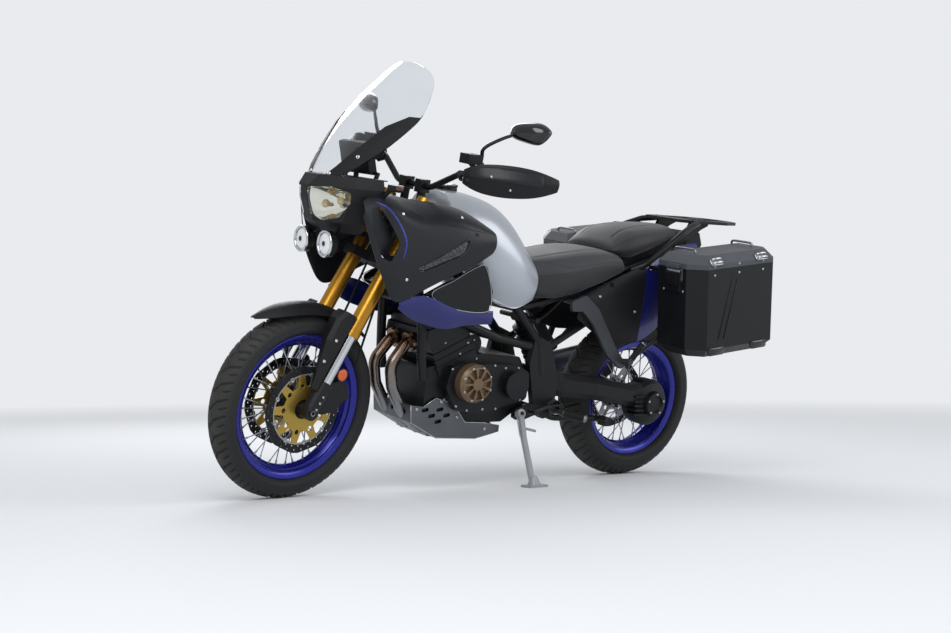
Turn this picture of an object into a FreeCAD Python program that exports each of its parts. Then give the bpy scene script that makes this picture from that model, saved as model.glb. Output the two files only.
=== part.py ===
"""An adventure motorcycle, parked on its side stand with the bars turned a little to the left.

Every piece is drawn on the upright machine with the bars straight: +X forward, +Y to the rider's left, +Z up,
and the origin on the ground half way between the axles. At the end the steered pieces turn about the steering
axis, and the whole machine leans to the left until both tyres and the side stand's foot touch the floor.
"""
import FreeCAD, Part
import math
import os

from FreeCAD import Vector as V

# Whole machine, in millimetres and degrees
WHEELBASE = 1540.0
RAKE = 28.0
TRAIL = 126.0
LEAN = 10.0
STEER_AT_REST = 8.7
ORIGIN_X = -61.7
ORIGIN_Y = 170.5

# Clearances
RUNNING_GAP = 0.3
MOVING_GAP = 5.0

# Wheels: tyre radius, tyre width, crown radius, bead seat radius, half rim width, flange height
FRONT_TYRE_RADIUS = 329.0
FRONT_TYRE_HALF_WIDTH = 55.0
FRONT_CROWN_RADIUS = 60.0
FRONT_BEAD_RADIUS = 241.3
FRONT_RIM_HALF_WIDTH = 32.0
REAR_TYRE_RADIUS = 321.0
REAR_TYRE_HALF_WIDTH = 75.0
REAR_CROWN_RADIUS = 82.0
REAR_BEAD_RADIUS = 215.9
REAR_RIM_HALF_WIDTH = 51.0
FLANGE_HEIGHT = 14.0
FLANGE_WIDTH = 6.0
TREAD_THICKNESS = 11.0
SPOKES = 36
SPOKE_RADIUS = 2.1
SPOKE_SWEEP = 24.0
AXLE_RADIUS = 10.0
FRONT_HUB_HALF_LENGTH = 57.0
REAR_HUB_HALF_LENGTH = 60.0
HUB_FLANGE_RADIUS = 58.0

# Brakes
FRONT_DISC_RADIUS = 155.0
REAR_DISC_RADIUS = 141.0
DISC_WIDTH = 36.0
DISC_THICKNESS = 4.5
REAR_DISC_THICKNESS = 5.0

# Fork: distances measured up the leg from the axle
LEG_SPREAD = 95.0
LEG_INNER_RADIUS = 21.5
LEG_OUTER_RADIUS = 27.0
LUG_TOP = 112.0
OUTER_TUBE_LOW = 292.0
LOWER_CLAMP_AT = 585.0
UPPER_CLAMP_AT = 800.0
LEG_TOP = 838.0
CLAMP_THICKNESS = 32.0
STEM_RADIUS = 24.0
HEAD_TUBE_RADIUS = 37.0

# Handlebar
BAR_RADIUS = 11.0
GRIP_RADIUS = 16.5

# Side panniers
PANNIER_LENGTH = 425.0
PANNIER_INNER_Y = 272.0
PANNIER_WIDTH = 215.0
PANNIER_HEIGHT = 335.0
PANNIER_WALL = 3.0
PANNIER_PITCH = 7.0
LID_HEIGHT = 52.0
LID_INSET = 26.0
LID_GAP = 0.5

# Stands
STAND_TUBE_RADIUS = 12.0

FRONT_AXLE = V(WHEELBASE / 2, 0, FRONT_TYRE_RADIUS)
REAR_AXLE = V(-WHEELBASE / 2, 0, REAR_TYRE_RADIUS)
Y_AXIS = V(0, 1, 0)
STEER_UP = V(-math.sin(math.radians(RAKE)), 0, math.cos(math.radians(RAKE)))
STEER_FORWARD = V(math.cos(math.radians(RAKE)), 0, math.sin(math.radians(RAKE)))
STEER_POINT = V(WHEELBASE / 2 + TRAIL, 0, 0)


# Shape helpers

def point(value):
    return value if isinstance(value, FreeCAD.Vector) else V(*value)


def polygon(points):
    points = [point(p) for p in points]
    return Part.makePolygon(points + [points[0]])


def rounded(points, radius):
    """A closed wire through the points, its corners arcs of the given radius or less where a side is short."""
    points = [point(p) for p in points]
    count = len(points)
    corners = []
    for i, corner in enumerate(points):
        back = points[i - 1] - corner
        ahead = points[(i + 1) % count] - corner
        half = back.getAngle(ahead) / 2
        run = min(radius / math.tan(half), 0.45 * back.Length, 0.45 * ahead.Length)
        back.normalize()
        ahead.normalize()
        middle = back + ahead
        middle.normalize()
        reach = run / math.cos(half)
        arc_radius = run * math.tan(half)
        corners.append((corner + back * run, corner + middle * (reach - arc_radius), corner + ahead * run))
    edges = []
    for i, (start, middle, end) in enumerate(corners):
        edges.append(Part.Arc(start, middle, end).toShape())
        edges.append(Part.LineSegment(end, corners[(i + 1) % count][0]).toShape())
    return Part.Wire(edges)


def plate(outline, y_from, y_to, radius=0.0, holes=()):
    """A flat plate from an outline of (x, z) points between two values of y, with holes (x, z, radius)."""
    corners = [V(x, y_from, z) for x, z in outline]
    outer = rounded(corners, radius) if radius else polygon(corners)
    face = Part.Face(outer)
    solid = face.extrude(V(0, y_to - y_from, 0))
    for x, z, hole in holes:
        foot = V(x, min(y_from, y_to) - 1, z)
        solid = solid.cut(Part.makeCylinder(hole, abs(y_to - y_from) + 2, foot, Y_AXIS))
    return solid


def loft(wires, ruled=True):
    return Part.makeLoft(wires, True, ruled)


def led_surface(rows):
    """A smooth surface led by rows of points: it reaches the outer ones and passes near the others."""
    degree = 2
    surface = Part.BSplineSurface()
    knots, counts = [], []
    for size in (len(rows), len(rows[0])):
        knots.append([float(k) for k in range(size - degree + 1)])
        counts.append([degree + 1] + [1] * (size - degree - 1) + [degree + 1])
    surface.buildFromPolesMultsKnots([[point(p) for p in row] for row in rows], counts[0], counts[1],
                                     knots[0], knots[1], False, False, degree, degree)
    return surface


def edges_of(surface):
    """The first and last row's curves, then the first and last column's."""
    first_row, last_row, first_column, last_column = surface.bounds()
    return [surface.uIso(first_row).toShape(), surface.uIso(last_row).toShape(),
            surface.vIso(first_column).toShape(), surface.vIso(last_column).toShape()]


def sewn(faces):
    shell = Part.makeShell(faces)
    shell.sewShape()
    solid = Part.makeSolid(shell)
    if solid.Volume < 0:
        solid.reverse()
    return solid


def thin_skin(outer_rows, inner_rows):
    """A wall between two led surfaces, closed along its four edges."""
    outer, inner = led_surface(outer_rows), led_surface(inner_rows)
    sides = [Part.makeRuledSurface(a, b) for a, b in zip(edges_of(outer), edges_of(inner))]
    return sewn([outer.toShape(), inner.toShape()] + sides)


def hull(sections):
    """A symmetric body: at each x, (y, z) points from the top middle down the left side, flat underneath."""
    rows = []
    for x, half in sections:
        rows.append([V(x, -y, z) for y, z in reversed(half[1:])] + [V(x, y, z) for y, z in half])
    skin = led_surface(rows)
    start, end, right, left = edges_of(skin)
    caps = []
    for edge, row in ((start, rows[0]), (end, rows[-1])):
        caps.append(Part.Face(Part.Wire([edge, Part.LineSegment(row[-1], row[0]).toShape()])))
    return sewn([skin.toShape(), Part.makeRuledSurface(right, left)] + caps)


def rod(start, end, radius):
    start, end = point(start), point(end)
    return Part.makeCylinder(radius, (end - start).Length, start, end - start)


def bar_along_y(x, z, y_from, y_to, radius):
    return Part.makeCylinder(radius, abs(y_to - y_from), V(x, min(y_from, y_to), z), Y_AXIS)


def box(x, y, z):
    """A block between the lowest and highest of each pair."""
    return Part.makeBox(x[1] - x[0], y[1] - y[0], z[1] - z[0], V(x[0], y[0], z[0]))


def bent_tube(points, radius, bend):
    """A round tube along straight runs joined by tangent arcs."""
    points = [point(p) for p in points]
    edges = []
    start = points[0]
    for before, corner, after in zip(points, points[1:], points[2:]):
        back, ahead = before - corner, after - corner
        half = back.getAngle(ahead) / 2
        run = min(bend / math.tan(half), 0.45 * back.Length, 0.45 * ahead.Length)
        back.normalize()
        ahead.normalize()
        middle = back + ahead
        middle.normalize()
        arc_radius = run * math.tan(half)
        inner = corner + middle * (run / math.cos(half) - arc_radius)
        edges.append(Part.LineSegment(start, corner + back * run).toShape())
        edges.append(Part.Arc(corner + back * run, inner, corner + ahead * run).toShape())
        start = corner + ahead * run
    edges.append(Part.LineSegment(start, points[-1]).toShape())
    circle = Part.Wire(Part.makeCircle(radius, points[0], points[1] - points[0]))
    return Part.Wire(edges).makePipeShell([circle], True, True)


def fuse(*shapes):
    return shapes[0].multiFuse(list(shapes[1:])).removeSplitter() if len(shapes) > 1 else shapes[0]


def clear(shape, *others):
    """The shape with the room that the others take removed, so that they meet face to face."""
    tools = [o for o in others if o.BoundBox.intersect(shape.BoundBox)]
    return shape.cut(tools) if tools else shape


def largest(shape, count=1):
    """The largest solids alone, without the crumbs that a cut leaves."""
    solids = sorted(shape.Solids, key=lambda solid: -solid.Volume)[:count]
    return solids[0] if count == 1 else Part.makeCompound(solids)


def mirrored(shape):
    return shape.mirror(V(0, 0, 0), Y_AXIS)


def both_sides(shape):
    return Part.makeCompound([shape, mirrored(shape)])


def spun(profile, centre):
    """A closed profile of (y, radius) points turned about the Y axis through the centre."""
    wire = polygon([V(centre.x + r, centre.y + y, centre.z) for y, r in profile])
    return Part.Face(wire).revolve(centre, Y_AXIS, 360)


def along_leg(distance, y=0.0, forward=0.0):
    """A point beside the fork leg, a distance up from the axle."""
    return FRONT_AXLE + STEER_UP * distance + STEER_FORWARD * forward + V(0, y, 0)


# Wheels

def tyre(centre, radius, half_width, crown, bead_radius, rim_half_width):
    """A tyre's carcass: a round crown, sidewalls and beads that sit on the rim."""
    def crown_arc(cut, half):
        core = radius - crown
        rise = math.sqrt((crown - cut) ** 2 - half ** 2)
        ends = [V(centre.x + core + rise, centre.y + s * half, centre.z) for s in (-1, 1)]
        return Part.Arc(ends[0], V(centre.x + radius - cut, centre.y, centre.z), ends[1]).toShape(), ends

    shoulder = half_width - 2
    outer, outer_ends = crown_arc(0, shoulder)
    inner, inner_ends = crown_arc(TREAD_THICKNESS, shoulder - 9)
    wall_height = outer_ends[1].x - centre.x - bead_radius
    edges = [outer]
    for side in (1, -1):
        wall = [outer_ends[1 if side > 0 else 0],
                V(centre.x + bead_radius + 0.62 * wall_height, side * half_width, centre.z),
                V(centre.x + bead_radius + FLANGE_HEIGHT + 3, side * (rim_half_width + FLANGE_WIDTH), centre.z),
                V(centre.x + bead_radius + FLANGE_HEIGHT + 1, side * (rim_half_width - 0.3), centre.z),
                V(centre.x + bead_radius + 0.2, side * (rim_half_width - 0.3), centre.z),
                V(centre.x + bead_radius + 0.2, side * (rim_half_width - 12), centre.z),
                V(centre.x + bead_radius + 0.6 * wall_height, side * (half_width - 9), centre.z),
                inner_ends[1 if side > 0 else 0]]
        edges += [Part.LineSegment(a, b).toShape() for a, b in zip(wall, wall[1:])]
    edges.append(inner)
    wire = Part.Wire(Part.sortEdges(edges)[0])
    return Part.Face(wire).revolve(centre, Y_AXIS, 360)


def spoked_wheel(centre, bead, half, hub_half):
    """Rim with a central spoke rib, hub with two flanges, and crossed wire spokes that join them."""
    edge = half + FLANGE_WIDTH
    well = bead - 14
    floor = well - 6
    rib = floor - 10
    side = [(edge, bead + FLANGE_HEIGHT), (half, bead + FLANGE_HEIGHT), (half, bead), (0.55 * half, bead),
            (0.42 * half, well)]
    under = [(4, rib), (4, floor), (0.5 * half, floor), (0.62 * half, bead - 7), (edge - 1, bead - 4)]
    profile = side + [(-y, r) for y, r in reversed(side)] + [(-y, r) for y, r in reversed(under)] + under
    pieces = [spun(profile, centre)]
    flange = hub_half - 18
    bore = AXLE_RADIUS + RUNNING_GAP
    right = [(hub_half, bore), (hub_half, 46), (hub_half - 8, 46), (hub_half - 10, 36), (flange + 4, 36),
             (flange + 4, HUB_FLANGE_RADIUS), (flange - 2, HUB_FLANGE_RADIUS), (flange - 4, 34)]
    pieces.append(spun(right + [(-y, r) for y, r in reversed(right)], centre))
    for i in range(SPOKES):
        outward = 1 if i % 2 else -1
        lean = SPOKE_SWEEP if (i // 2) % 2 else -SPOKE_SWEEP
        rim_angle = math.radians(360.0 * i / SPOKES)
        hub_angle = rim_angle + math.radians(lean)
        hub_end = V((HUB_FLANGE_RADIUS - 6) * math.cos(hub_angle), outward * (flange + 1),
                    (HUB_FLANGE_RADIUS - 6) * math.sin(hub_angle))
        rim_end = V((rib + 4) * math.cos(rim_angle), outward * 3, (rib + 4) * math.sin(rim_angle))
        pieces.append(rod(centre + hub_end, centre + rim_end, SPOKE_RADIUS))
    return fuse(*pieces)


def brake_disc(centre, y_from, thickness, radius, waves, holes):
    """A waved disc with two rows of holes."""
    inner = radius - DISC_WIDTH
    points = []
    for i in range(waves * 4):
        angle = 2 * math.pi * i / (waves * 4)
        reach = radius - (4.0 if i % 4 in (1, 2) else 0.0)
        points.append(V(centre.x + reach * math.cos(angle), y_from, centre.z + reach * math.sin(angle)))
    wires = [polygon(points), Part.Wire(Part.makeCircle(inner, V(centre.x, y_from, centre.z), Y_AXIS))]
    for i in range(holes):
        reach = inner + DISC_WIDTH * (0.3 if i % 2 else 0.68)
        angle = 2 * math.pi * i / holes
        spot = V(centre.x + reach * math.cos(angle), y_from, centre.z + reach * math.sin(angle))
        wires.append(Part.Wire(Part.makeCircle(3.2, spot, Y_AXIS)))
    return Part.Face(wires, "Part::FaceMakerBullseye").extrude(V(0, thickness, 0))


def disc_carrier(centre, y_from, thickness, radius, arms):
    """The spider between hub and disc: a ring with forked arms that reach the disc's inner edge."""
    inner = 34.0
    points = []
    for i in range(arms):
        for step, reach in ((-0.30, 0.66), (-0.14, 1.0), (0.14, 1.0), (0.30, 0.66)):
            angle = 2 * math.pi * (i + step) / arms
            points.append(V(centre.x + radius * reach * math.cos(angle), y_from,
                            centre.z + radius * reach * math.sin(angle)))
    wires = [polygon(points), Part.Wire(Part.makeCircle(inner, V(centre.x, y_from, centre.z), Y_AXIS))]
    for i in range(arms):
        angle = 2 * math.pi * i / arms
        spot = V(centre.x + 0.66 * radius * math.cos(angle), y_from, centre.z + 0.66 * radius * math.sin(angle))
        wires.append(Part.Wire(Part.makeCircle(9.0, spot, Y_AXIS)))
    return Part.Face(wires, "Part::FaceMakerBullseye").extrude(V(0, thickness, 0))


def front_discs():
    y = FRONT_HUB_HALF_LENGTH
    inner = FRONT_DISC_RADIUS - DISC_WIDTH
    left = fuse(brake_disc(FRONT_AXLE, y, DISC_THICKNESS, FRONT_DISC_RADIUS, 9, 60),
                disc_carrier(FRONT_AXLE, y, DISC_THICKNESS, inner + 4, 9))
    return both_sides(left)


def rear_disc():
    y = -REAR_HUB_HALF_LENGTH - REAR_DISC_THICKNESS
    inner = REAR_DISC_RADIUS - DISC_WIDTH
    return fuse(brake_disc(REAR_AXLE, y, REAR_DISC_THICKNESS, REAR_DISC_RADIUS, 9, 48),
                disc_carrier(REAR_AXLE, y, REAR_DISC_THICKNESS, inner + 4, 6))


# Steered pieces

def sector(centre, inner, outer, y_from, y_to, start, end):
    """Part of a ring about the Y axis, between two angles counted from +X towards +Z."""
    def at(radius, angle):
        turn = math.radians(angle)
        return V(centre.x + radius * math.cos(turn), y_from, centre.z + radius * math.sin(turn))

    middle = (start + end) / 2
    edges = [Part.Arc(at(outer, start), at(outer, middle), at(outer, end)).toShape(),
             Part.LineSegment(at(outer, end), at(inner, end)).toShape(),
             Part.Arc(at(inner, end), at(inner, middle), at(inner, start)).toShape(),
             Part.LineSegment(at(inner, start), at(outer, start)).toShape()]
    return Part.Face(Part.Wire(edges)).extrude(V(0, y_to - y_from, 0))


def leg_plate(outline, s_from, s_to):
    """A plate across the legs: an outline of (forward, y) points between two distances up the leg."""
    face = Part.Face(polygon([along_leg(s_from, y, forward) for forward, y in outline]))
    return face.extrude(STEER_UP * (s_to - s_from))


def symmetric(half):
    """A half outline of (a, y) points, closed by its mirror image."""
    return half + [(a, -y) for a, y in reversed(half)]


FORK_OFFSET = (FRONT_AXLE - STEER_POINT).dot(STEER_FORWARD)
CLAMP_HALF = [(-FORK_OFFSET - 36, 32), (-34, 128), (30, 128), (36, 66), (-4, 36)]
SWEEP_HALF_WIDTH = 153.0
SWEEP_BEHIND = 84.0
CALIPER_START, CALIPER_END = 132.0, 170.0


def steering_sweep():
    """The room that the fork legs and clamps sweep from lock to lock."""
    outline = symmetric([(-FORK_OFFSET - SWEEP_BEHIND, SWEEP_HALF_WIDTH), (SWEEP_HALF_WIDTH, SWEEP_HALF_WIDTH)])
    return leg_plate(outline, LOWER_CLAMP_AT - 80, LEG_TOP + 12)


def front_axle():
    """The axle spindle, hollow so that a stand's pin can enter it."""
    reach = LEG_SPREAD + 24
    return bar_along_y(FRONT_AXLE.x, FRONT_AXLE.z, -reach, reach, AXLE_RADIUS).cut(
        bar_along_y(FRONT_AXLE.x, FRONT_AXLE.z, -reach - 1, reach + 1, AXLE_RADIUS - 3.5))


def fork_lugs():
    """The cast lower ends: socket for the chrome tube, eye for the axle and ear for the caliper."""
    left = fuse(rod(along_leg(0, LEG_SPREAD), along_leg(LUG_TOP, LEG_SPREAD), LEG_INNER_RADIUS + 7),
                bar_along_y(FRONT_AXLE.x, FRONT_AXLE.z, LEG_SPREAD - 24, LEG_SPREAD + 18, 27),
                plate([(along_leg(s, 0, f).x, along_leg(s, 0, f).z) for s, f in
                       ((12, -5), (12, -50), (45, -100), (120, -118), (150, -60), (108, -5))],
                      LEG_SPREAD - 13, LEG_SPREAD + 3, 10))
    left = left.cut(rod(along_leg(50, LEG_SPREAD), along_leg(LUG_TOP + 60, LEG_SPREAD), LEG_INNER_RADIUS))
    bore = Part.makeCylinder(AXLE_RADIUS, 300, V(FRONT_AXLE.x, -150, FRONT_AXLE.z), Y_AXIS)
    return both_sides(left).cut(bore)


def front_calipers(lugs):
    """Two calipers that straddle the discs behind the legs, each seated on its lug's ear."""
    disc_y = FRONT_HUB_HALF_LENGTH
    slot = (disc_y - MOVING_GAP, disc_y + DISC_THICKNESS + MOVING_GAP)
    body = sector(FRONT_AXLE, FRONT_DISC_RADIUS - 52, FRONT_DISC_RADIUS + 24, slot[0] - 20, slot[1] + 17,
                  CALIPER_START, CALIPER_END)
    body = body.cut(sector(FRONT_AXLE, FRONT_DISC_RADIUS - 60, FRONT_DISC_RADIUS + 9, slot[0], slot[1],
                           CALIPER_START - 5, CALIPER_END + 5))
    return clear(both_sides(body), lugs)


def fork_stanchions():
    left = rod(along_leg(50, LEG_SPREAD), along_leg(OUTER_TUBE_LOW + 150, LEG_SPREAD), LEG_INNER_RADIUS)
    return both_sides(left)


def fork_outer_tubes():
    tube = fuse(rod(along_leg(OUTER_TUBE_LOW, LEG_SPREAD), along_leg(LEG_TOP, LEG_SPREAD), LEG_OUTER_RADIUS),
                rod(along_leg(OUTER_TUBE_LOW, LEG_SPREAD), along_leg(OUTER_TUBE_LOW + 22, LEG_SPREAD),
                    LEG_OUTER_RADIUS + 2.5),
                rod(along_leg(OUTER_TUBE_LOW + 28, LEG_SPREAD), along_leg(OUTER_TUBE_LOW + 34, LEG_SPREAD),
                    LEG_OUTER_RADIUS + 1.5))
    bore = rod(along_leg(OUTER_TUBE_LOW - 1, LEG_SPREAD), along_leg(LEG_TOP - 14, LEG_SPREAD),
               LEG_INNER_RADIUS + RUNNING_GAP)
    return both_sides(tube.cut(bore))


def triple_clamps():
    """Upper and lower clamps, joined by the steering stem."""
    half = CLAMP_THICKNESS / 2
    outline = symmetric(CLAMP_HALF)
    stem = rod(along_leg(LOWER_CLAMP_AT, 0, -FORK_OFFSET), along_leg(UPPER_CLAMP_AT + 24, 0, -FORK_OFFSET),
               STEM_RADIUS)
    body = fuse(leg_plate(outline, LOWER_CLAMP_AT - half, LOWER_CLAMP_AT + half),
                leg_plate(outline, UPPER_CLAMP_AT - half, UPPER_CLAMP_AT + half), stem)
    return body.cut([rod(along_leg(LOWER_CLAMP_AT - 40, y), along_leg(UPPER_CLAMP_AT + 60, y), LEG_OUTER_RADIUS)
                     for y in (-LEG_SPREAD, LEG_SPREAD)])


# Fender sections round the tyre: angle, half width, radius at the crown, radius at the edge
FENDER_SECTIONS = [(56, 14, 380, 374), (63, 46, 378, 356), (76, 63, 373, 340), (96, 64, 368, 334),
                   (116, 63.5, 364, 334), (134, 63.5, 362, 338)]
# Guards in front of the legs: distance up the leg, front edge, inner edge
GUARD_SECTIONS = [(72, 46, 90), (150, 66, 86), (240, 92, 76), (318, 96, 60), (356, 76, 59)]


def front_fender(lugs):
    """A creased fender close round the tyre, with a guard down the front of each leg."""
    outer_rows, inner_rows = [], []
    for angle, half, crown, edge in FENDER_SECTIONS:
        turn = math.radians(angle)
        out = V(math.cos(turn), 0, math.sin(turn))
        shape = [(-half, edge), (-0.6 * half, crown - 7), (0, crown), (0.6 * half, crown - 7), (half, edge)]
        outer_rows.append([FRONT_AXLE + out * r + V(0, y, 0) for y, r in shape])
        inner_rows.append([FRONT_AXLE + out * (r - 4) + V(0, y * (1 - 3.5 / half), 0) for y, r in shape])
    guard = []
    leg_front = LEG_OUTER_RADIUS + 2.8
    for s, front, inner in GUARD_SECTIONS:
        shape = [(leg_front, 114), (front - 13, 113), (front, 99), (front, inner)]
        back = [(front - 4, inner), (front - 4, 97), (front - 15, 109), (leg_front, 110)]
        guard.append(polygon([along_leg(s, y, f) for f, y in shape + back]))
    tab = rod(along_leg(90, LEG_SPREAD + 8, 23), along_leg(90, LEG_SPREAD + 8, 42), 6)
    left = fuse(loft(guard), tab)
    return clear(fuse(thin_skin(outer_rows, inner_rows), left, mirrored(left)), lugs)


# Handlebar, left half from the middle to the end
BAR_ROUTE = [(350, 86, 1112), (326, 196, 1178), (288, 286, 1200), (158, 458, 1190)]
RISER_Y = 42.0


def bar_tube(radius, first=0.0, last=1.0):
    """A straight tube on the left grip's line, between two shares of that run."""
    start, end = point(BAR_ROUTE[2]), point(BAR_ROUTE[3])
    return rod(start + (end - start) * first, start + (end - start) * last, radius)


def handlebar():
    route = [V(x, -y, z) for x, y, z in reversed(BAR_ROUTE)] + [point(p) for p in BAR_ROUTE]
    return bent_tube(route, BAR_RADIUS, 60)


def bar_risers(bar):
    """Two posts on the upper clamp with the caps that hold the handlebar."""
    top = V(BAR_ROUTE[0][0], RISER_Y, BAR_ROUTE[0][2])
    foot = along_leg(UPPER_CLAMP_AT + CLAMP_THICKNESS / 2, RISER_Y, -FORK_OFFSET)
    block = box((top.x - 21, top.x + 21), (RISER_Y - 17, RISER_Y + 17), (top.z - 24, top.z + 22))
    post = rod(foot - STEER_UP * 12, V(foot.x, RISER_Y, top.z - 10), 15)
    left = clear(fuse(block, post), bar)
    return left, mirrored(left)


def hand_grips():
    return both_sides(bar_tube(GRIP_RADIUS, 0.36, 0.97).cut(bar_tube(BAR_RADIUS, 0.3, 1.0)))


# Where the mirror stem leaves the handlebar, and where the mirror hangs
MIRROR_FOOT = V(300, 262, 1214)
MIRROR_KNEE = V(316, 286, 1280)
MIRROR_NECK = V(272, 372, 1340)


def hand_controls(bar):
    """Switch housings, perches, reservoirs and levers."""
    start, end = point(BAR_ROUTE[2]), point(BAR_ROUTE[3])
    run = end - start
    housing = bar_tube(23, 0.0, 0.34)
    collar = rod(V(303, 250, 1191), start, 19)
    perch = rod(start + run * 0.02, start + run * 0.02 + V(52, 8, 6), 11)
    lever = bent_tube([start + run * 0.02 + V(50, 8, 6), start + run * 0.3 + V(62, 24, -4),
                       start + run * 0.92 + V(58, 26, -12)], 6.5, 40)
    reservoir = box((312, 372), (232, 282), (1222, 1256))
    stalk = rod(V(342, 257, 1226), V(300, 257, 1193), 9)
    left = fuse(housing, collar, perch, lever, reservoir, stalk)
    return clear(both_sides(left), bar)


# Hand guard sections from the inner end to the bar end: x, y, outward direction, low, high, bulge
HAND_GUARD_SECTIONS = [
    (398, 292, 62, 1158, 1204, 4), (396, 332, 50, 1140, 1226, 10), (352, 404, 46, 1128, 1240, 16),
    (268, 470, 60, 1134, 1240, 16), (196, 500, 74, 1152, 1226, 10), (150, 503, 84, 1170, 1212, 4),
]


def hand_guards(bar, grips):
    """Shells in front of the grips, each held at the bar's end and by an arm near the clamp."""
    outer_rows, inner_rows = [], []
    for x, y, turn, low, high, bulge in HAND_GUARD_SECTIONS:
        out = V(math.cos(math.radians(turn)), math.sin(math.radians(turn)), 0)
        middle = low + 0.55 * (high - low)
        shape = [(-1.6 * bulge, low), (0, middle - 8), (0, middle + 10), (-1.6 * bulge, high)]
        outer_rows.append([V(x, y, z) + out * b for b, z in shape])
        inner_rows.append([V(x, y, z) + out * (b - 4) for b, z in shape])
    end = point(BAR_ROUTE[3])
    end_mount = rod(end + V(-1, 2, 0), V(170, 500, 1190), 12)
    arm = bent_tube([V(336, 222, 1170), V(362, 262, 1164), V(399, 314, 1172)], 7, 30)
    inner_clamp = rod(V(330, 200, 1180), V(340, 226, 1168), 13)
    left = fuse(thin_skin(outer_rows, inner_rows), end_mount, arm, inner_clamp)
    return clear(both_sides(left), bar, grips)


def mirrors(bar, controls, guards):
    """Oval mirrors on bent stems."""
    outline = [(-74, 6), (-60, 30), (-20, 38), (38, 36), (72, 14), (70, -6), (30, -36), (-30, -26), (-66, -12)]
    across = V(-0.34, 0.93, 0.13)
    across.normalize()
    back = V(-0.93, -0.34, 0)
    back.normalize()
    up = back.cross(across) * -1
    if up.z < 0:
        up = up * -1
    centre = V(246, 425, 1352)
    wires = []
    for depth, scale in ((0, 0.96), (6, 1.0), (-16, 0.9), (-34, 0.5)):
        wires.append((depth, polygon([centre + back * depth + across * (a * scale) + up * (b * scale)
                                      for a, b in outline])))
    shell = loft([wire for depth, wire in sorted(wires, key=lambda item: item[0])])
    stem = fuse(rod(MIRROR_FOOT, MIRROR_KNEE, 7), Part.makeSphere(8, MIRROR_KNEE),
                rod(MIRROR_KNEE, MIRROR_NECK, 5.5),
                rod(MIRROR_FOOT - V(0, 0, 8), MIRROR_FOOT + V(0, 0, 14), 12))
    left = fuse(shell, stem, rod(MIRROR_NECK, centre - back * 20, 6))
    return clear(both_sides(left), bar, controls, guards)


def brake_hoses(clamps, calipers, lugs):
    """Hoses from the lower clamp down behind each leg to its caliper."""
    s_top = LOWER_CLAMP_AT - CLAMP_THICKNESS / 2
    route = [along_leg(s_top, 62, -40), along_leg(s_top - 60, 62, -46), along_leg(s_top - 130, 66, -58),
             along_leg(s_top - 220, 74, -72), along_leg(s_top - 300, 80, -86), along_leg(s_top - 360, 82, -104)]
    return clear(both_sides(bent_tube(route, 4.0, 60)), calipers, lugs, clamps)


# Frame and engine

FRAME_TUBE = 17.0
SWINGARM_PIVOT = V(-245, 0, 408)
# Left tubes of the frame
TOP_SPAR = [(352, 38, 950), (240, 78, 900), (60, 104, 792), (-70, 124, 690), (-190, 126, 560), (-212, 126, 440)]
DOWN_TUBE = [(412, 34, 868), (352, 76, 806), (356, 118, 700), (344, 130, 600), (336, 132, 500), (322, 132, 430)]
SIDE_TUBE = [(350, 128, 636), (190, 146, 640), (16, 146, 580), (-150, 126, 548)]
SUBFRAME_TOP = [(-120, 100, 690), (-240, 108, 720), (-500, 116, 812), (-760, 112, 900), (-900, 96, 945)]
SUBFRAME_LOW = [(-206, 118, 520), (-420, 124, 640), (-676, 116, 871)]


def frame():
    """Steel frame: head tube, spars down each side of the tank, down tubes, side tubes and pivot plates."""
    half = CLAMP_THICKNESS / 2
    low, high = LOWER_CLAMP_AT + half + RUNNING_GAP, UPPER_CLAMP_AT - half - RUNNING_GAP
    head = rod(along_leg(low, 0, -FORK_OFFSET), along_leg(high, 0, -FORK_OFFSET), HEAD_TUBE_RADIUS)
    bore = rod(along_leg(low - 1, 0, -FORK_OFFSET), along_leg(high + 1, 0, -FORK_OFFSET), STEM_RADIUS + RUNNING_GAP)
    sides = []
    for tube in (TOP_SPAR, DOWN_TUBE, SIDE_TUBE):
        sides.append(bent_tube(tube, FRAME_TUBE, 50))
    sides.append(rod(TOP_SPAR[0], along_leg(high - 30, 0, -FORK_OFFSET), FRAME_TUBE))
    sides.append(rod(DOWN_TUBE[0], along_leg(low + 30, 0, -FORK_OFFSET), FRAME_TUBE))
    pivot_plate = plate([(-170, 590), (-150, 480), (-186, 330), (-236, 268), (-286, 290), (-296, 420), (-246, 560)],
                        112, 138, 18)
    sides.append(pivot_plate)
    left = fuse(*sides)
    cross = [rod((p[0], -p[1], p[2]), p, FRAME_TUBE - 2) for p in (TOP_SPAR[3], DOWN_TUBE[2])]
    cross.append(bar_along_y(-236, 300, -120, 120, 14))
    cross.append(bar_along_y(SWINGARM_PIVOT.x, SWINGARM_PIVOT.z, -138, 138, 13))
    return fuse(head, left, mirrored(left), *cross, *side_stand_bracket()).cut(bore)


def front_stay(frame_shape):
    """The stay that carries the nose: an arm forward from the head tube, a cross tube and its uprights."""
    middle = (LOWER_CLAMP_AT + UPPER_CLAMP_AT) / 2
    start = along_leg(middle, 0, -FORK_OFFSET)
    nose = V(600, 0, start.z + 40)
    arm = fuse(rod(start + V(20, 0, 22), nose, 13), rod(start + V(20, 0, -16), nose + V(0, 0, -26), 10))
    cross = rod(nose + V(0, -150, 0), nose + V(0, 150, 0), 10)
    low = rod(nose + V(0, -60, -26), nose + V(0, 60, -26), 10)
    uprights = [bent_tube([nose + V(0, s * 96, -2), nose + V(-4, s * 98, 90), nose + V(-34, s * 100, 182)], 8, 40)
                for s in (-1, 1)]
    web = rod(nose, nose + V(0, 0, -26), 9)
    head = rod(start - STEER_UP * 120, start + STEER_UP * 120, HEAD_TUBE_RADIUS - 1)
    return fuse(arm, cross, low, web, *uprights).cut([frame_shape, head])


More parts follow.
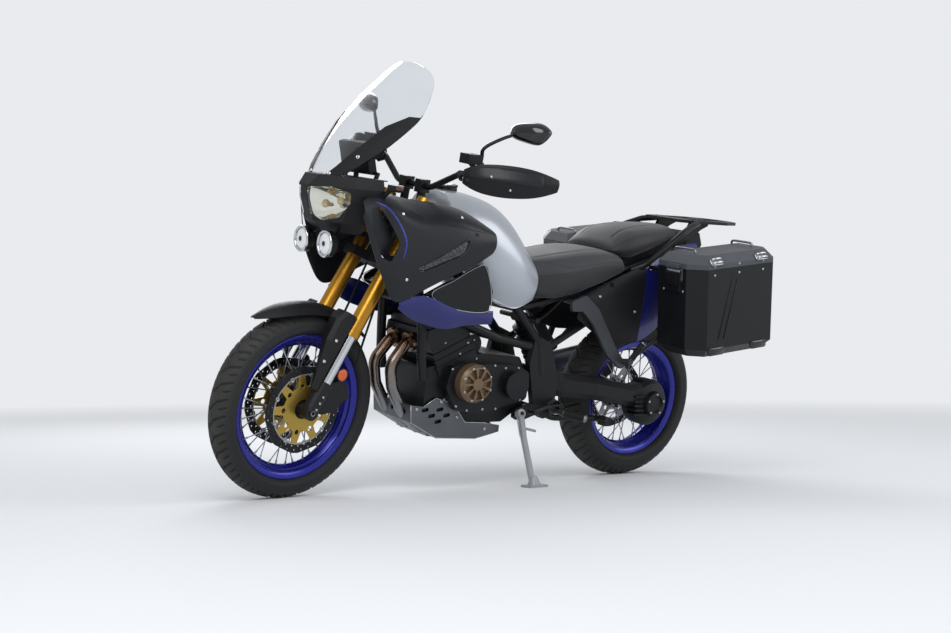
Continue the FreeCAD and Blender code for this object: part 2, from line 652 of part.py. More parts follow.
def subframe(frame_shape):
    """The rear frame: two upper tubes, two struts and the cross tubes between them."""
    parts = []
    for tube in (SUBFRAME_TOP, SUBFRAME_LOW):
        side = bent_tube(tube, 14, 60)
        parts += [side, mirrored(side)]
    for x, y, z in (SUBFRAME_TOP[2], SUBFRAME_TOP[3], SUBFRAME_TOP[4]):
        parts.append(rod((x, -y, z), (x, y, z), 12))
    return clear(fuse(*parts), frame_shape)


CYLINDER_TILT = 24.0


def engine():
    """Crankcase, the cylinders that lean forward, the cylinder head and its cover, and the clutch cover."""
    case = plate([(296, 470), (296, 300), (240, 262), (-60, 262), (-150, 320), (-160, 440), (-120, 505), (60, 520),
                  (120, 500)], -112, 112, 14)
    sump = plate([(210, 264), (190, 232), (-20, 240), (-50, 264)], -80, 80)
    left_case = plate([(210, 480), (230, 400), (180, 318), (60, 300), (-40, 330), (-140, 350), (-146, 450),
                       (-90, 478), (40, 486)], 110, 150, 22)
    gear_case = bar_along_y(-71, 409, 148, 180, 52)
    right_case = plate([(200, 470), (220, 400), (170, 320), (-40, 310), (-120, 380), (-110, 470)], -110, -140, 24)
    clutch = bar_along_y(20, 410, -185, -138, 88)
    clutch_rim = bar_along_y(20, 410, -192, -184, 70)
    pump = bar_along_y(160, 390, -178, -138, 40)
    turn = math.radians(CYLINDER_TILT)
    up, ahead = V(math.sin(turn), 0, math.cos(turn)), V(math.cos(turn), 0, -math.sin(turn))
    base = V(165, 0, 470)

    def block(points, half):
        face = Part.Face(polygon([base + ahead * a + up * b + V(0, -half, 0) for a, b in points]))
        return face.extrude(V(0, 2 * half, 0))

    cylinders = block([(84, 0), (84, 118), (-84, 118), (-96, 0)], 118)
    ribs = [block([(90, b), (90, b + 7), (-88, b + 7), (-88, b)], 122) for b in (28, 54, 80)]
    head = block([(96, 116), (104, 150), (84, 184), (-84, 184), (-96, 150), (-96, 116)], 132)
    cover = block([(74, 182), (66, 214), (30, 226), (-60, 220), (-74, 182)], 126)
    ports = [rod(base + ahead * 90 + up * 140 + V(0, y, 0), base + ahead * 124 + up * 132 + V(0, y, 0), 32)
             for y in (-48, 48)]
    starter = bar_along_y(60, 545, -60, 60, 36)
    return fuse(case, sump, left_case, gear_case, right_case, clutch, clutch_rim, pump, cylinders, *ribs, head, cover,
                *ports, starter)


GENERATOR_CENTRE = V(125, 0, 421)
GENERATOR_RADIUS = 70.0


def generator_cover():
    """The round cover on the left of the crankshaft, with deep pockets between its ribs."""
    centre = GENERATOR_CENTRE
    inner_y = 150.0
    face_y = 199.0
    profile = [(inner_y, 0), (inner_y, GENERATOR_RADIUS), (face_y - 16, GENERATOR_RADIUS),
               (face_y - 2, GENERATOR_RADIUS - 9), (face_y, GENERATOR_RADIUS - 18), (face_y, 0)]
    wire = polygon([V(centre.x + r, y, centre.z) for y, r in profile])
    body = Part.Face(wire).revolve(V(centre.x, 0, centre.z), Y_AXIS, 360)
    pockets = []
    for i in range(9):
        start = 360.0 * i / 9 + 5
        pockets.append(sector(V(centre.x, 0, centre.z), 22, GENERATOR_RADIUS - 13, face_y - 14, face_y + 2,
                              start, start + 29))
    return body.cut(pockets)


# Left header pipe from the cylinder head, down in front of the engine and back under it
HEADER_ROUTE = [(334, 48, 555), (352, 50, 548), (414, 54, 470), (398, 54, 388), (344, 54, 300), (262, 42, 236)]
HEADER_RADIUS = 21.0


def exhaust_headers(engine_shape):
    """Two header pipes that join under the crankcase, and the link pipe out to the right-hand muffler."""
    left = bent_tube(HEADER_ROUTE, HEADER_RADIUS, 60)
    right = mirrored(left)
    flange = rod((331, 48, 556), (345, 48, 551), 36)
    return clear(fuse(left, right, flange, mirrored(flange)), engine_shape)


# Link pipe and muffler on the right
MUFFLER_START = V(-436, -256, 366)
MUFFLER_END = V(-846, -274, 432)


def link_pipe():
    """The collector under the engine and the pipe that runs back on the right to the muffler."""
    box_shape = plate([(262, 250), (262, 216), (120, 208), (70, 216), (70, 240), (120, 250)], -96, 96, 8)
    pipe = bent_tube([(90, -60, 228), (-40, -100, 230), (-200, -196, 242), (-340, -240, 264),
                      MUFFLER_START + V(20, 1, -24), MUFFLER_START + V(-8, 0, 4)], 25, 90)
    return fuse(box_shape, pipe)


def muffler(link):
    """An oval can with end caps and its heat shield, on the right."""
    axis = MUFFLER_END - MUFFLER_START
    length = axis.Length
    axis.normalize()
    side = Y_AXIS.cross(axis)
    side.normalize()

    def ring(distance, wide, tall):
        points = []
        for i in range(10):
            angle = 2 * math.pi * i / 10
            points.append(MUFFLER_START + axis * distance + Y_AXIS * (wide * math.cos(angle))
                          + side * (tall * math.sin(angle)))
        return polygon(points)

    body = loft([ring(0, 28, 28), ring(60, 52, 62), ring(length - 40, 54, 66), ring(length, 40, 50)])
    outlet = rod(MUFFLER_END - axis * 60, MUFFLER_END + axis * 22, 22)
    return clear(fuse(body, outlet), link)


SKID_THICKNESS = 4.0
# Skid plate seen from the side: x, z
SKID_LOW = [(356, 336), (349, 274), (236, 214), (60, 204), (-48, 228)]
SKID_HIGH = [(-48, 250), (20, 262), (112, 268), (148, 312), (168, 338), (250, 360), (300, 330)]


def skid_plate():
    """A folded aluminium guard under the engine with oval holes in its front and sides."""
    side = plate(SKID_LOW + SKID_HIGH, 118, 118 + SKID_THICKNESS)
    for x, z in ((292, 318), (262, 296), (228, 318), (196, 296), (232, 274)):
        side = side.cut(plate([(x - 15, z + 9), (x - 15, z - 5), (x + 15, z - 9), (x + 15, z + 5)], 110, 130, 6))
    under = SKID_LOW + [(x - (SKID_THICKNESS if i < 2 else 0), z + (SKID_THICKNESS if i > 0 else 0))
                        for i, (x, z) in reversed(list(enumerate(SKID_LOW)))]
    pan = plate(under, -118, 118)
    for y in (-78, -40, 0, 40, 78):
        pan = pan.cut(Part.makeCylinder(9, 40, V(330, y, 305), V(1, 0, 0.1)))
    stays = [rod((230, s * 118, 330), (230, s * 104, 330), 7) for s in (-1, 1)]
    stays += [rod((-30, s * 118, 240), (-30, s * 70, 250), 7) for s in (-1, 1)]
    return fuse(pan, side, mirrored(side), *stays)


# Rear suspension and drive

def swingarm(frame_shape):
    """Left tube that houses the drive shaft, right box arm and the bridge between them."""
    def ring(x, y, z, wide, tall):
        corners = [(wide, 0.5 * tall), (0.5 * wide, tall), (-0.5 * wide, tall), (-wide, 0.5 * tall),
                   (-wide, -0.5 * tall), (-0.5 * wide, -tall), (0.5 * wide, -tall), (wide, -0.5 * tall)]
        return polygon([V(x, y + a, z + b) for a, b in corners])

    left = loft([ring(-262, 74, 402, 34, 44), ring(-330, 104, 396, 36, 46), ring(-480, 126, 382, 36, 44),
                 ring(-668, 130, 352, 38, 42)])
    right = loft([ring(-262, -74, 402, 34, 44), ring(-330, -100, 392, 24, 46), ring(-560, -112, 352, 20, 40),
                  ring(-800, -112, 320, 18, 34)])
    bridge = loft([ring(-258, 0, 404, 106, 46), ring(-330, 0, 398, 110, 44), ring(-392, 0, 392, 112, 30)])
    axle_hole = bar_along_y(REAR_AXLE.x, REAR_AXLE.z, -200, -60, AXLE_RADIUS)
    pivot_hole = bar_along_y(SWINGARM_PIVOT.x, SWINGARM_PIVOT.z, -150, 150, 13)
    return clear(fuse(left, right, bridge).cut([axle_hole, pivot_hole]), frame_shape)


def final_drive(arm):
    """The bevel gear housing on the left of the rear wheel, with cooling fins on its outer face."""
    inner_y = REAR_HUB_HALF_LENGTH + MOVING_GAP
    centre = REAR_AXLE
    profile = [(inner_y, AXLE_RADIUS), (inner_y, 70), (inner_y + 24, 92), (142, 92), (160, 78), (168, 50),
               (190, 46), (192, 34), (184, 30), (184, AXLE_RADIUS)]
    body = spun(profile, V(centre.x, 0, centre.z))
    neck = loft([polygon([V(-668, 130 + a * 36, 352 + b * 42) for a, b in
                          ((1, .5), (.5, 1), (-.5, 1), (-1, .5), (-1, -.5), (-.5, -1), (.5, -1), (1, -.5))]),
                 polygon([V(-725, 122 + a * 40, 334 + b * 66) for a, b in
                          ((1, .5), (.5, 1), (-.5, 1), (-1, .5), (-1, -.5), (-.5, -1), (.5, -1), (1, -.5))])])
    fins = [box((-752, -672), (120, 176), (z, z + 6)) for z in (276, 294, 312, 330, 348)]
    return clear(fuse(body, neck, *fins), arm)


def rear_axle():
    """The rear spindle with its nut on the right."""
    shaft = bar_along_y(REAR_AXLE.x, REAR_AXLE.z, -146, 184, AXLE_RADIUS)
    return fuse(shaft, bar_along_y(REAR_AXLE.x, REAR_AXLE.z, -146, -132, 20))


def rear_caliper(arm):
    """The rear brake caliper on the right arm."""
    disc = (-REAR_HUB_HALF_LENGTH - REAR_DISC_THICKNESS - MOVING_GAP, -REAR_HUB_HALF_LENGTH + MOVING_GAP)
    body = sector(REAR_AXLE, REAR_DISC_RADIUS - 46, REAR_DISC_RADIUS + 24, disc[0] - 22, disc[1] + 15, 35, 70)
    slot = sector(REAR_AXLE, REAR_DISC_RADIUS - 60, REAR_DISC_RADIUS + 8, disc[0], disc[1], 30, 75)
    bracket = plate([(-800, 350), (-770, 372), (-728, 372), (-720, 420), (-690, 470), (-660, 440), (-700, 352)],
                    disc[0] - 10, disc[0] - 32, 6)
    return clear(fuse(body.cut(slot), bracket), arm)


SHOCK_TOP = V(-190, 0, 640)
SHOCK_FOOT = V(-300, 0, 446)


def rear_shock(frame_shape, arm):
    """The spring and damper between the frame and the swingarm."""
    axis = SHOCK_TOP - SHOCK_FOOT
    length = axis.Length
    axis.normalize()
    side = V(axis.z, 0, -axis.x)
    profile = [(0, 0), (0, 20), (14, 20), (14, 38), (20, 38)]
    coils = 7
    pitch = (length - 70) / coils
    for i in range(coils):
        low = 24 + pitch * i
        profile += [(low, 28), (low + 0.3 * pitch, 38), (low + 0.6 * pitch, 38), (low + 0.9 * pitch, 28)]
    profile += [(length - 44, 40), (length - 34, 40), (length - 30, 22), (length, 22), (length, 0)]
    wire = polygon([SHOCK_FOOT + axis * a + side * r for a, r in profile])
    body = Part.Face(wire).revolve(SHOCK_FOOT, axis, 360)
    eye = bar_along_y(SHOCK_TOP.x, SHOCK_TOP.z, -30, 30, 20)
    mount = rod(SHOCK_TOP + V(0, -112, 0), SHOCK_TOP + V(0, 112, 0), 10)
    foot = bar_along_y(SHOCK_FOOT.x, SHOCK_FOOT.z, -24, 24, 18)
    return largest(clear(fuse(body, eye, foot, mount), frame_shape, arm))


# Bodywork

def panel(sections, thickness):
    """A thin panel on the left over sections at constant x, each an open line of (y, z) points."""
    outer_rows, inner_rows = [], []
    for x, line in sections:
        inner = []
        for i, (y, z) in enumerate(line):
            before, after = line[max(i - 1, 0)], line[min(i + 1, len(line) - 1)]
            along = V(0, after[0] - before[0], after[1] - before[1])
            along.normalize()
            inner.append(V(x, y, z) + V(0, along.z, -along.y) * thickness)
        outer_rows.append([V(x, y, z) for y, z in line])
        inner_rows.append(inner)
    return thin_skin(outer_rows, inner_rows)


# Tank sections: x, then (y, z) points from the top middle down the left side
TANK_SECTIONS = [
    (266, [(0, 1100), (78, 1090), (126, 1052), (156, 990), (160, 930), (112, 880)]),
    (212, [(0, 1104), (78, 1096), (140, 1056), (176, 990), (182, 900), (120, 850)]),
    (100, [(0, 1086), (80, 1076), (150, 1030), (190, 950), (196, 800), (130, 750)]),
    (17, [(0, 1058), (78, 1048), (140, 1000), (188, 920), (200, 780), (150, 700)]),
    (-60, [(0, 990), (70, 984), (128, 950), (178, 880), (196, 770), (150, 684)]),
    (-122, [(0, 900), (60, 896), (112, 876), (160, 836), (180, 780), (150, 724)]),
]
TANK_TUNNEL_HALF = 108.0


def fuel_tank(frame_shape):
    """The tank: broad over the engine, with side lobes that reach down behind the shrouds."""
    body = hull(TANK_SECTIONS)
    tunnel = plate([(340, 900), (340, 1000), (230, 960), (0, 880), (-140, 830), (-140, 640), (340, 640)],
                   -TANK_TUNNEL_HALF, TANK_TUNNEL_HALF)
    cap = Part.makeCylinder(40, 14, V(206, 0, 1098), V(0.08, 0, 1))
    return clear(fuse(body.cut([tunnel, steering_sweep()]), cap), frame_shape)


# Left shroud: x, then (y, z) points from the top edge down to the lower edge
SHROUD_SECTIONS = [
    (676, [(196, 1050), (206, 1040), (214, 1020), (212, 1004), (206, 996)]),
    (640, [(178, 1072), (212, 1058), (246, 980), (252, 900), (240, 870)]),
    (600, [(162, 1082), (232, 1066), (262, 960), (268, 840), (246, 790)]),
    (560, [(152, 1080), (242, 1060), (268, 940), (270, 800), (240, 722)]),
    (516, [(150, 1070), (250, 1042), (272, 910), (268, 800), (236, 718)]),
    (460, [(156, 1062), (256, 1020), (276, 900), (268, 820), (240, 748)]),
    (337, [(168, 1058), (248, 1040), (280, 930), (270, 866), (240, 806)]),
    (230, [(186, 1030), (250, 1010), (280, 940), (272, 890), (246, 850)]),
    (160, [(214, 984), (256, 974), (272, 944), (268, 914), (250, 896)]),
]
SHROUD_THICKNESS = 4.0
MESH_THICKNESS = 5.0
# The scoop's mouth seen from the left: x, z
SCOOP_MOUTH = [(656, 1030), (628, 1036), (560, 920), (590, 856), (622, 872), (654, 960)]
# The grille's opening seen from the left: x, z
GRILLE = [(490, 838), (452, 830), (300, 892), (276, 944), (300, 936)]
GRILLE_BACKING = [(504, 842), (450, 818), (290, 882), (258, 956), (306, 948)]


def left_shroud():
    """The big side panel: scooped mouth at the front, a grille along its lower edge, and lugs to the tank."""
    skin = panel(SHROUD_SECTIONS, SHROUD_THICKNESS)
    skin = skin.cut([plate(SCOOP_MOUTH, 180, 300, 10), plate(GRILLE, 200, 300, 6)])
    duct = plate(SCOOP_MOUTH, 206, 222, 10)
    deep_panel = panel(SHROUD_SECTIONS, SHROUD_THICKNESS + MESH_THICKNESS)
    outer_panel = panel(SHROUD_SECTIONS, SHROUD_THICKNESS - 0.5)
    mesh = deep_panel.common(plate(GRILLE_BACKING, 200, 300)).cut(outer_panel)
    lugs = [rod((x, y, z), (x, 271, z), 8) for x, y, z in ((250, 172, 960), (190, 184, 940))]
    return fuse(skin, duct, mesh, *lugs)


# Lower side panel, blue at the front: x, then (y, z) points
LOWER_PANEL_SECTIONS = [
    (520, [(234, 716), (236, 708), (226, 696)]),
    (470, [(240, 744), (242, 700), (214, 664)]),
    (400, [(246, 742), (244, 690), (206, 640)]),
    (300, [(232, 700), (236, 670), (206, 618)]),
    (210, [(218, 690), (226, 672), (206, 640)]),
    (100, [(208, 690), (216, 664), (204, 640)]),
]
# Radiator cover on the side, inside its bright border: x, z
SIDE_COVER = [(397, 746), (300, 694), (136, 684), (124, 760), (160, 852), (200, 852), (300, 800)]


def lower_panels():
    left = panel(LOWER_PANEL_SECTIONS, SHROUD_THICKNESS)
    return both_sides(left)


def radiator_covers():
    """Textured covers between the shroud and the lower panel, each with the radiator core behind it."""
    cover = plate(SIDE_COVER, 222, 227, 18)
    core = plate([(380, 740), (300, 706), (150, 698), (150, 830), (300, 780)], 168, 222)
    return both_sides(fuse(cover, core))


# Nose wall levels: z, front x, front half width, middle x, middle half width, rear x, rear half width
NOSE_LEVELS = [(930, 712, 26, 684, 74, 612, 96), (966, 764, 28, 704, 118, 612, 150), (1040, 790, 30, 700, 158, 604, 186),
               (1086, 792, 34, 700, 172, 592, 206), (1122, 764, 46, 684, 160, 588, 196)]
NOSE_WALL = 4.0
LAMP_OUTLINE = [(20, 1078), (20, 988), (58, 968), (112, 984), (156, 1036), (160, 1070), (104, 1086)]


def nose_solid(inset):
    """The nose as a solid, its walls moved in by the inset."""
    wires = []
    for z, fx, fy, mx, my, rx, ry in NOSE_LEVELS:
        half = [(rx, ry - inset), (mx - inset, my - inset), (fx - inset, fy)]
        wires.append(polygon([V(x, y, z) for x, y in half] + [V(x, -y, z) for x, y in reversed(half)]))
    return loft(wires)


def lamp_prism(inset):
    """One headlamp's window seen from the front, made a prism along X, for both sides."""
    middle = (90, 1030)
    corners = []
    for y, z in LAMP_OUTLINE:
        away = V(0, y - middle[0], z - middle[1])
        away.normalize()
        corners.append(V(640, y - away.y * inset, z - away.z * inset))
    return both_sides(Part.Face(polygon(corners)).extrude(V(180, 0, 0)))


def nose_cowl(stay):
    """The front panel round the headlamps, with its visor."""
    shell = nose_solid(0).cut([nose_solid(NOSE_WALL), box((560, 600), (-230, 230), (900, 1118))])
    roof = nose_solid(0).common(box((500, 800), (-260, 260), (1118, 1130)))
    return clear(fuse(shell, roof).cut(lamp_prism(0)), stay)


def headlamps(stay):
    """Two lens blocks seated in the nose, each with its bowl."""
    lens = lamp_prism(0.3).common(nose_solid(1.0)).cut(nose_solid(46))
    bridge = box((640, 690), (-104, 104), (1020, 1044)).common(nose_solid(8))
    return clear(fuse(lens, bridge), stay)


# Windscreen levels: z, x at the middle, half width, x at the edge
SCREEN_LEVELS = [(1096, 762, 70, 744), (1150, 728, 142, 686), (1220, 682, 200, 616), (1300, 624, 238, 544),
                 (1340, 594, 240, 506), (1403, 546, 218, 464), (1470, 490, 172, 420), (1512, 452, 112, 416),
                 (1529, 434, 40, 426)]
SCREEN_THICKNESS = 4.0


def screen_line(level, shares, shift):
    """Points across the screen at one level, moved forward by the shift."""
    z, middle, half, edge = level
    return [V(middle - (middle - edge) * u * u + shift, u * half, z) for u in shares]


def windscreen():
    shares = [-1, -0.75, -0.5, -0.25, 0, 0.25, 0.5, 0.75, 1]
    return thin_skin([screen_line(level, shares, 0) for level in SCREEN_LEVELS],
                     [screen_line(level, shares, -SCREEN_THICKNESS) for level in SCREEN_LEVELS])


def screen_panels():
    """Opaque panels over the screen's lower corners."""
    wires = []
    for level, inner in zip(SCREEN_LEVELS[:5], (0.36, 0.50, 0.56, 0.66, 0.86)):
        shares = [inner, (inner + 1) / 2, 1.0]
        wires.append(polygon(screen_line(level, shares, 3) + list(reversed(screen_line(level, shares, 0)))))
    return both_sides(loft(wires))


def instruments(stay):
    """Instrument case with its hood, facing the rider, and its bracket to the stay."""
    case = plate([(560, 1130), (592, 1136), (618, 1236), (590, 1246)], -88, 88, 8)
    arm = rod((596, 0, 960), (590, 0, 1140), 9)
    return clear(fuse(case, arm), stay)


FOG_LAMP = V(694, 78, 892)
FOG_LAMP_RADIUS = 44.0


def fog_lamps(cowl, stay):
    """Two round lamps on a bracket below the nose."""
    profile = [(0, 0), (0, 16), (10, 34), (22, FOG_LAMP_RADIUS), (44, FOG_LAMP_RADIUS), (44, FOG_LAMP_RADIUS - 4),
               (36, FOG_LAMP_RADIUS - 6), (40, 0)]
    wire = polygon([FOG_LAMP + V(a, 0, r) for a, r in profile])
    left = Part.Face(wire).revolve(FOG_LAMP, V(1, 0, 0), 360)
    arm = rod(FOG_LAMP + V(12, 0, 4), V(676, 52, 934), 7)
    cross = rod(V(676, -56, 934), V(676, 56, 934), 7)
    return clear(fuse(left, mirrored(left), arm, mirrored(arm), cross), cowl, stay)


def front_indicators(shroud):
    """Small side lamps on short stalks behind the nose."""
    stalk = rod((604, 196, 1064), (598, 236, 1096), 8)
    foot = [V(590 + a, 240 + 0.2 * b, 1100 + b) for a, b in ((-26, -14), (26, -10), (26, 12), (-26, 12))]
    face = [V(588 + a, 272 + 0.2 * b, 1102 + b) for a, b in ((-18, -9), (18, -7), (18, 8), (-18, 8))]
    lamp = loft([polygon(foot), polygon(face)])
    return both_sides(clear(fuse(stalk, lamp), shroud))


# Seats: x, then (y, z) points from the top middle down the left side
RIDER_SEAT_SECTIONS = [
    (-126, [(0, 872), (90, 868), (132, 846), (150, 780), (160, 742), (110, 728)]),
    (-200, [(0, 884), (110, 880), (156, 858), (178, 780), (172, 716), (112, 727)]),
    (-300, [(0, 900), (120, 896), (170, 874), (190, 800), (176, 742), (112, 751)]),
    (-400, [(0, 914), (130, 910), (178, 890), (196, 830), (182, 776), (112, 781)]),
    (-480, [(0, 920), (130, 914), (176, 894), (192, 850), (182, 812), (112, 811)]),
    (-540, [(0, 906), (120, 902), (160, 886), (178, 858), (170, 836), (112, 831)]),
]
PILLION_SECTIONS = [
    (-500, [(0, 938), (100, 932), (130, 922), (138, 912), (100, 910)]),
    (-560, [(0, 996), (104, 988), (150, 962), (168, 902), (130, 880)]),
    (-660, [(0, 1012), (104, 1004), (148, 984), (164, 934), (130, 912)]),
    (-760, [(0, 1020), (96, 1014), (136, 996), (150, 966), (120, 946)]),
    (-840, [(0, 1022), (80, 1018), (112, 1004), (126, 988), (100, 974)]),
]


def seat_pans(subframe_shape, frame_shape):
    """The trays that the seats clip to, with the tail box behind them."""
    rider = plate([(-140, 736), (-200, 730), (-480, 812), (-540, 838), (-540, 800), (-480, 780), (-200, 690),
                   (-140, 696)], -108, 108)
    pillion = plate([(-540, 836), (-520, 884), (-560, 878), (-660, 910), (-840, 972), (-900, 990), (-900, 930),
                     (-700, 850)], -106, 106)
    return clear(fuse(rider, pillion), subframe_shape, frame_shape)


# Rack plate seen from above: x, y
RACK_OUTLINE = [(-870, 96), (-930, 128), (-1110, 132), (-1196, 96), (-1222, 40)]
RACK_TOP = 1050.0
RACK_THICKNESS = 12.0
GRAB_RAIL = [(-596, 150, 846), (-640, 182, 872), (-830, 172, 1002), (-900, 150, 1030), (-960, 118, 1040)]


def rear_rack(subframe_shape, pans):
    """A slotted load plate on two brackets, with a grab rail down each side of the pillion seat."""
    half = RACK_OUTLINE
    top = RACK_TOP
    outline = [V(x, y, top - RACK_THICKNESS) for x, y in half] + [V(x, -y, top - RACK_THICKNESS)
                                                                  for x, y in reversed(half)]
    load = Part.Face(polygon(outline)).extrude(V(0, 0, RACK_THICKNESS))
    slots = []
    for x_from, x_to, y_from, y_to in ((-1090, -960, -88, -20), (-1090, -960, 20, 88), (-1180, -1116, -60, 60)):
        slots.append(box((x_from, x_to), (y_from, y_to), (top - 20, top + 5)))
    rail = bent_tube(GRAB_RAIL, 12, 50)
    brackets = [plate([(-884, 930), (-940, 1040), (-1060, 1040), (-1000, 1012), (-920, 952)], s * 84, s * 96, 6)
                for s in (-1, 1)]
    foot = rod((-606, 108, 842), (-606, 160, 850), 10)
    parts = fuse(load.cut(slots), rail, mirrored(rail), *brackets, foot, mirrored(foot))
    return clear(parts, subframe_shape, pans)


# Tail side covers: x, then (y, z) points
TAIL_COVER_SECTIONS = [
    (-330, [(150, 736), (176, 724), (182, 690), (170, 660)]),
    (-430, [(166, 784), (186, 760), (192, 690), (172, 590)]),
    (-540, [(172, 832), (192, 806), (196, 700), (176, 560)]),
    (-640, [(172, 868), (190, 840), (194, 720), (176, 570)]),
]
TAIL_ACCENT_SECTIONS = [
    (-642, [(172, 868), (190, 840), (194, 720), (176, 570)]),
    (-740, [(164, 906), (184, 876), (186, 760), (170, 600)]),
    (-860, [(140, 950), (164, 926), (164, 840), (150, 760)]),
    (-960, [(110, 968), (130, 950), (130, 900), (116, 850)]),
]


def tail_covers():
    left = panel(TAIL_COVER_SECTIONS, SHROUD_THICKNESS)
    lug = rod((-480, 122, 800), (-480, 184, 790), 7)
    return both_sides(fuse(left, lug))


def tail_accents():
    left = panel(TAIL_ACCENT_SECTIONS, SHROUD_THICKNESS)
    lug = rod((-760, 118, 896), (-760, 178, 880), 7)
    holes = [rod(start, end, CARRIER_RADIUS + 2) for start, end in CARRIER_ARMS]
    return both_sides(fuse(left, lug).cut(holes))


def rear_fender(subframe_shape, pans):
    """The inner guard over the rear tyre, the tail lamp's housing and the hanger for the number plate."""
    guard_centre = V(REAR_AXLE.x, 0, REAR_AXLE.z + 30)
    guard = sector(guard_centre, REAR_TYRE_RADIUS + 50, REAR_TYRE_RADIUS + 55, -96, 96, 62, 118)
    tail = plate([(-900, 990), (-1010, 1000), (-1030, 950), (-990, 900), (-900, 880)], -80, 80, 8)
    hanger = plate([(-960, 900), (-1010, 900), (-1090, 700), (-1100, 560), (-1088, 560), (-1070, 700)], -60, 60)
    board = plate([(-1100, 690), (-1096, 560), (-1100, 560), (-1104, 690)], -96, 96)
    lamps = [rod((-1040, 0, 800), (-1040, s * 150, 806), 9) for s in (-1, 1)]
    lamp_ends = []
    for s in (-1, 1):
        ends = [[V(-1040 + a * i, s * y, 806 + b * j) for i, j in ((-1, -1), (1, -1), (1, 1), (-1, 1))]
                for y, a, b in ((150, 24, 12), (188, 16, 8))]
        lamp_ends.append(loft([polygon(end) for end in ends]))
    strut = [rod((-770, s * 70, 700), (-770, s * 100, 902), 7) for s in (-1, 1)]
    web = box((-935, -905), (-40, 40), (690, 885))
    return clear(fuse(guard, tail, hanger, board, web, *lamps, *lamp_ends, *strut), subframe_shape, pans)


HANGER = [(-262, 726), (-330, 752), (-400, 700), (-500, 560), (-566, 486), (-540, 470), (-468, 520), (-380, 640),
          (-320, 692), (-270, 690)]


def peg_hangers(subframe_shape, frame_shape):
    """Cast hangers for the passenger's pegs, with the pegs folded up and the rider's pegs below."""
    arm = plate(HANGER, 196, 212, 10)
    boss = [rod((x, 130, z), (x, 200, z), 9) for x, z in ((-296, 722), (-350, 712))]
    peg = fuse(rod((-548, 212, 500), (-548, 256, 506), 12), rod((-552, 250, 512), (-592, 268, 582), 11))
    rider_mount = plate([(-250, 330), (-262, 290), (-310, 290), (-316, 330), (-280, 350)], 138, 150, 8)
    rider_peg = fuse(rod((-284, 140, 306), (-284, 200, 305), 12), rod((-284, 200, 305), (-330, 282, 298), 13))
    left = fuse(arm, *boss, peg)
    rider = fuse(rider_mount, rider_peg)
    return clear(both_sides(left), subframe_shape), clear(both_sides(rider), frame_shape)


def foot_controls(pegs, frame_shape):
    """Gear lever on the left and brake pedal on the right."""
    gear = fuse(bent_tube([(-284, 176, 330), (-210, 196, 332), (-120, 214, 316)], 7, 30),
                rod((-120, 200, 316), (-120, 240, 318), 9), rod((-284, 156, 330), (-284, 186, 330), 12))
    brake = fuse(bent_tube([(-284, -176, 330), (-200, -200, 322), (-130, -222, 300)], 8, 30),
                 box((-150, -112), (-240, -204), (300, 310)), rod((-284, -156, 330), (-284, -186, 330), 12))
    return clear(Part.makeCompound([gear, brake]), pegs, frame_shape)


# Side panniers

PANNIER_FRONT = V(-620, 0, 884)
PANNIER_CHAMFER_X = 50.0
PANNIER_CHAMFER_Y = 66.0
PANNIER_HINGE_RADIUS = 6.0
PANNIER_PIN_RADIUS = 3.0
CARRIER_Y = 250.0
CARRIER_RADIUS = 8.0
# Upper arms of the left carrier, which pass through the tail accent: start, end
CARRIER_ARMS = [((-672, 250, 861), (-672, 112, 863)), ((-930, 250, 895), (-886, 92, 938))]


def pannier_outline(z, inset):
    """The pannier's outline at a height over its lid line, moved in by the inset."""
    near, far = PANNIER_INNER_Y + inset, PANNIER_INNER_Y + PANNIER_WIDTH - inset
    front, rear = -inset, -PANNIER_LENGTH + inset
    cut_x, cut_y = PANNIER_CHAMFER_X - 0.35 * inset, PANNIER_CHAMFER_Y - 0.5 * inset
    corners = [(front, near), (front, far - cut_y), (front - cut_x, far), (rear + 0.6 * cut_x, far),
               (rear, far - 0.6 * cut_y), (rear, near)]
    return polygon([V(x, y, z) for x, y in corners])


def place_pannier(shape):
    """From the pannier's own frame, level with its lid line, to its pitched place on the motorcycle."""
    shape = shape.copy()
    shape.rotate(V(0, 0, 0), Y_AXIS, PANNIER_PITCH)
    shape.translate(PANNIER_FRONT)
    return shape


def pannier_hinge(first, last, radius):
    return Part.makeCylinder(radius, last - first, V(-PANNIER_LENGTH - PANNIER_HINGE_RADIUS - 1, first, 0), Y_AXIS)


def pannier_body():
    """The tub: hollow, with a chamfered floor, corner feet, the latch on its front and the hinge pin behind."""
    low = -PANNIER_HEIGHT
    wall = PANNIER_WALL
    outer = loft([pannier_outline(low, 30), pannier_outline(low + 32, 0), pannier_outline(0, 0)])
    inner = loft([pannier_outline(low + wall, 30 + wall), pannier_outline(low + 32, wall), pannier_outline(1, wall)])
    middle = PANNIER_INNER_Y + PANNIER_WIDTH / 2 - 22
    latch = [box((-1, 14), (middle - 42, middle + 42), (-86, -12)),
             box((10, 20), (middle - 30, middle + 30), (-62, -16))]
    reach = PANNIER_LENGTH + PANNIER_HINGE_RADIUS + 1
    leaf = box((-reach, -PANNIER_LENGTH + 1), (middle - 20, middle + 20), (-14, -3))
    pin = pannier_hinge(middle - 60, middle + 60, PANNIER_PIN_RADIUS)
    knuckle = pannier_hinge(middle - 20, middle + 20, PANNIER_HINGE_RADIUS)
    return place_pannier(fuse(outer.cut(inner), *latch, leaf, pin, knuckle))


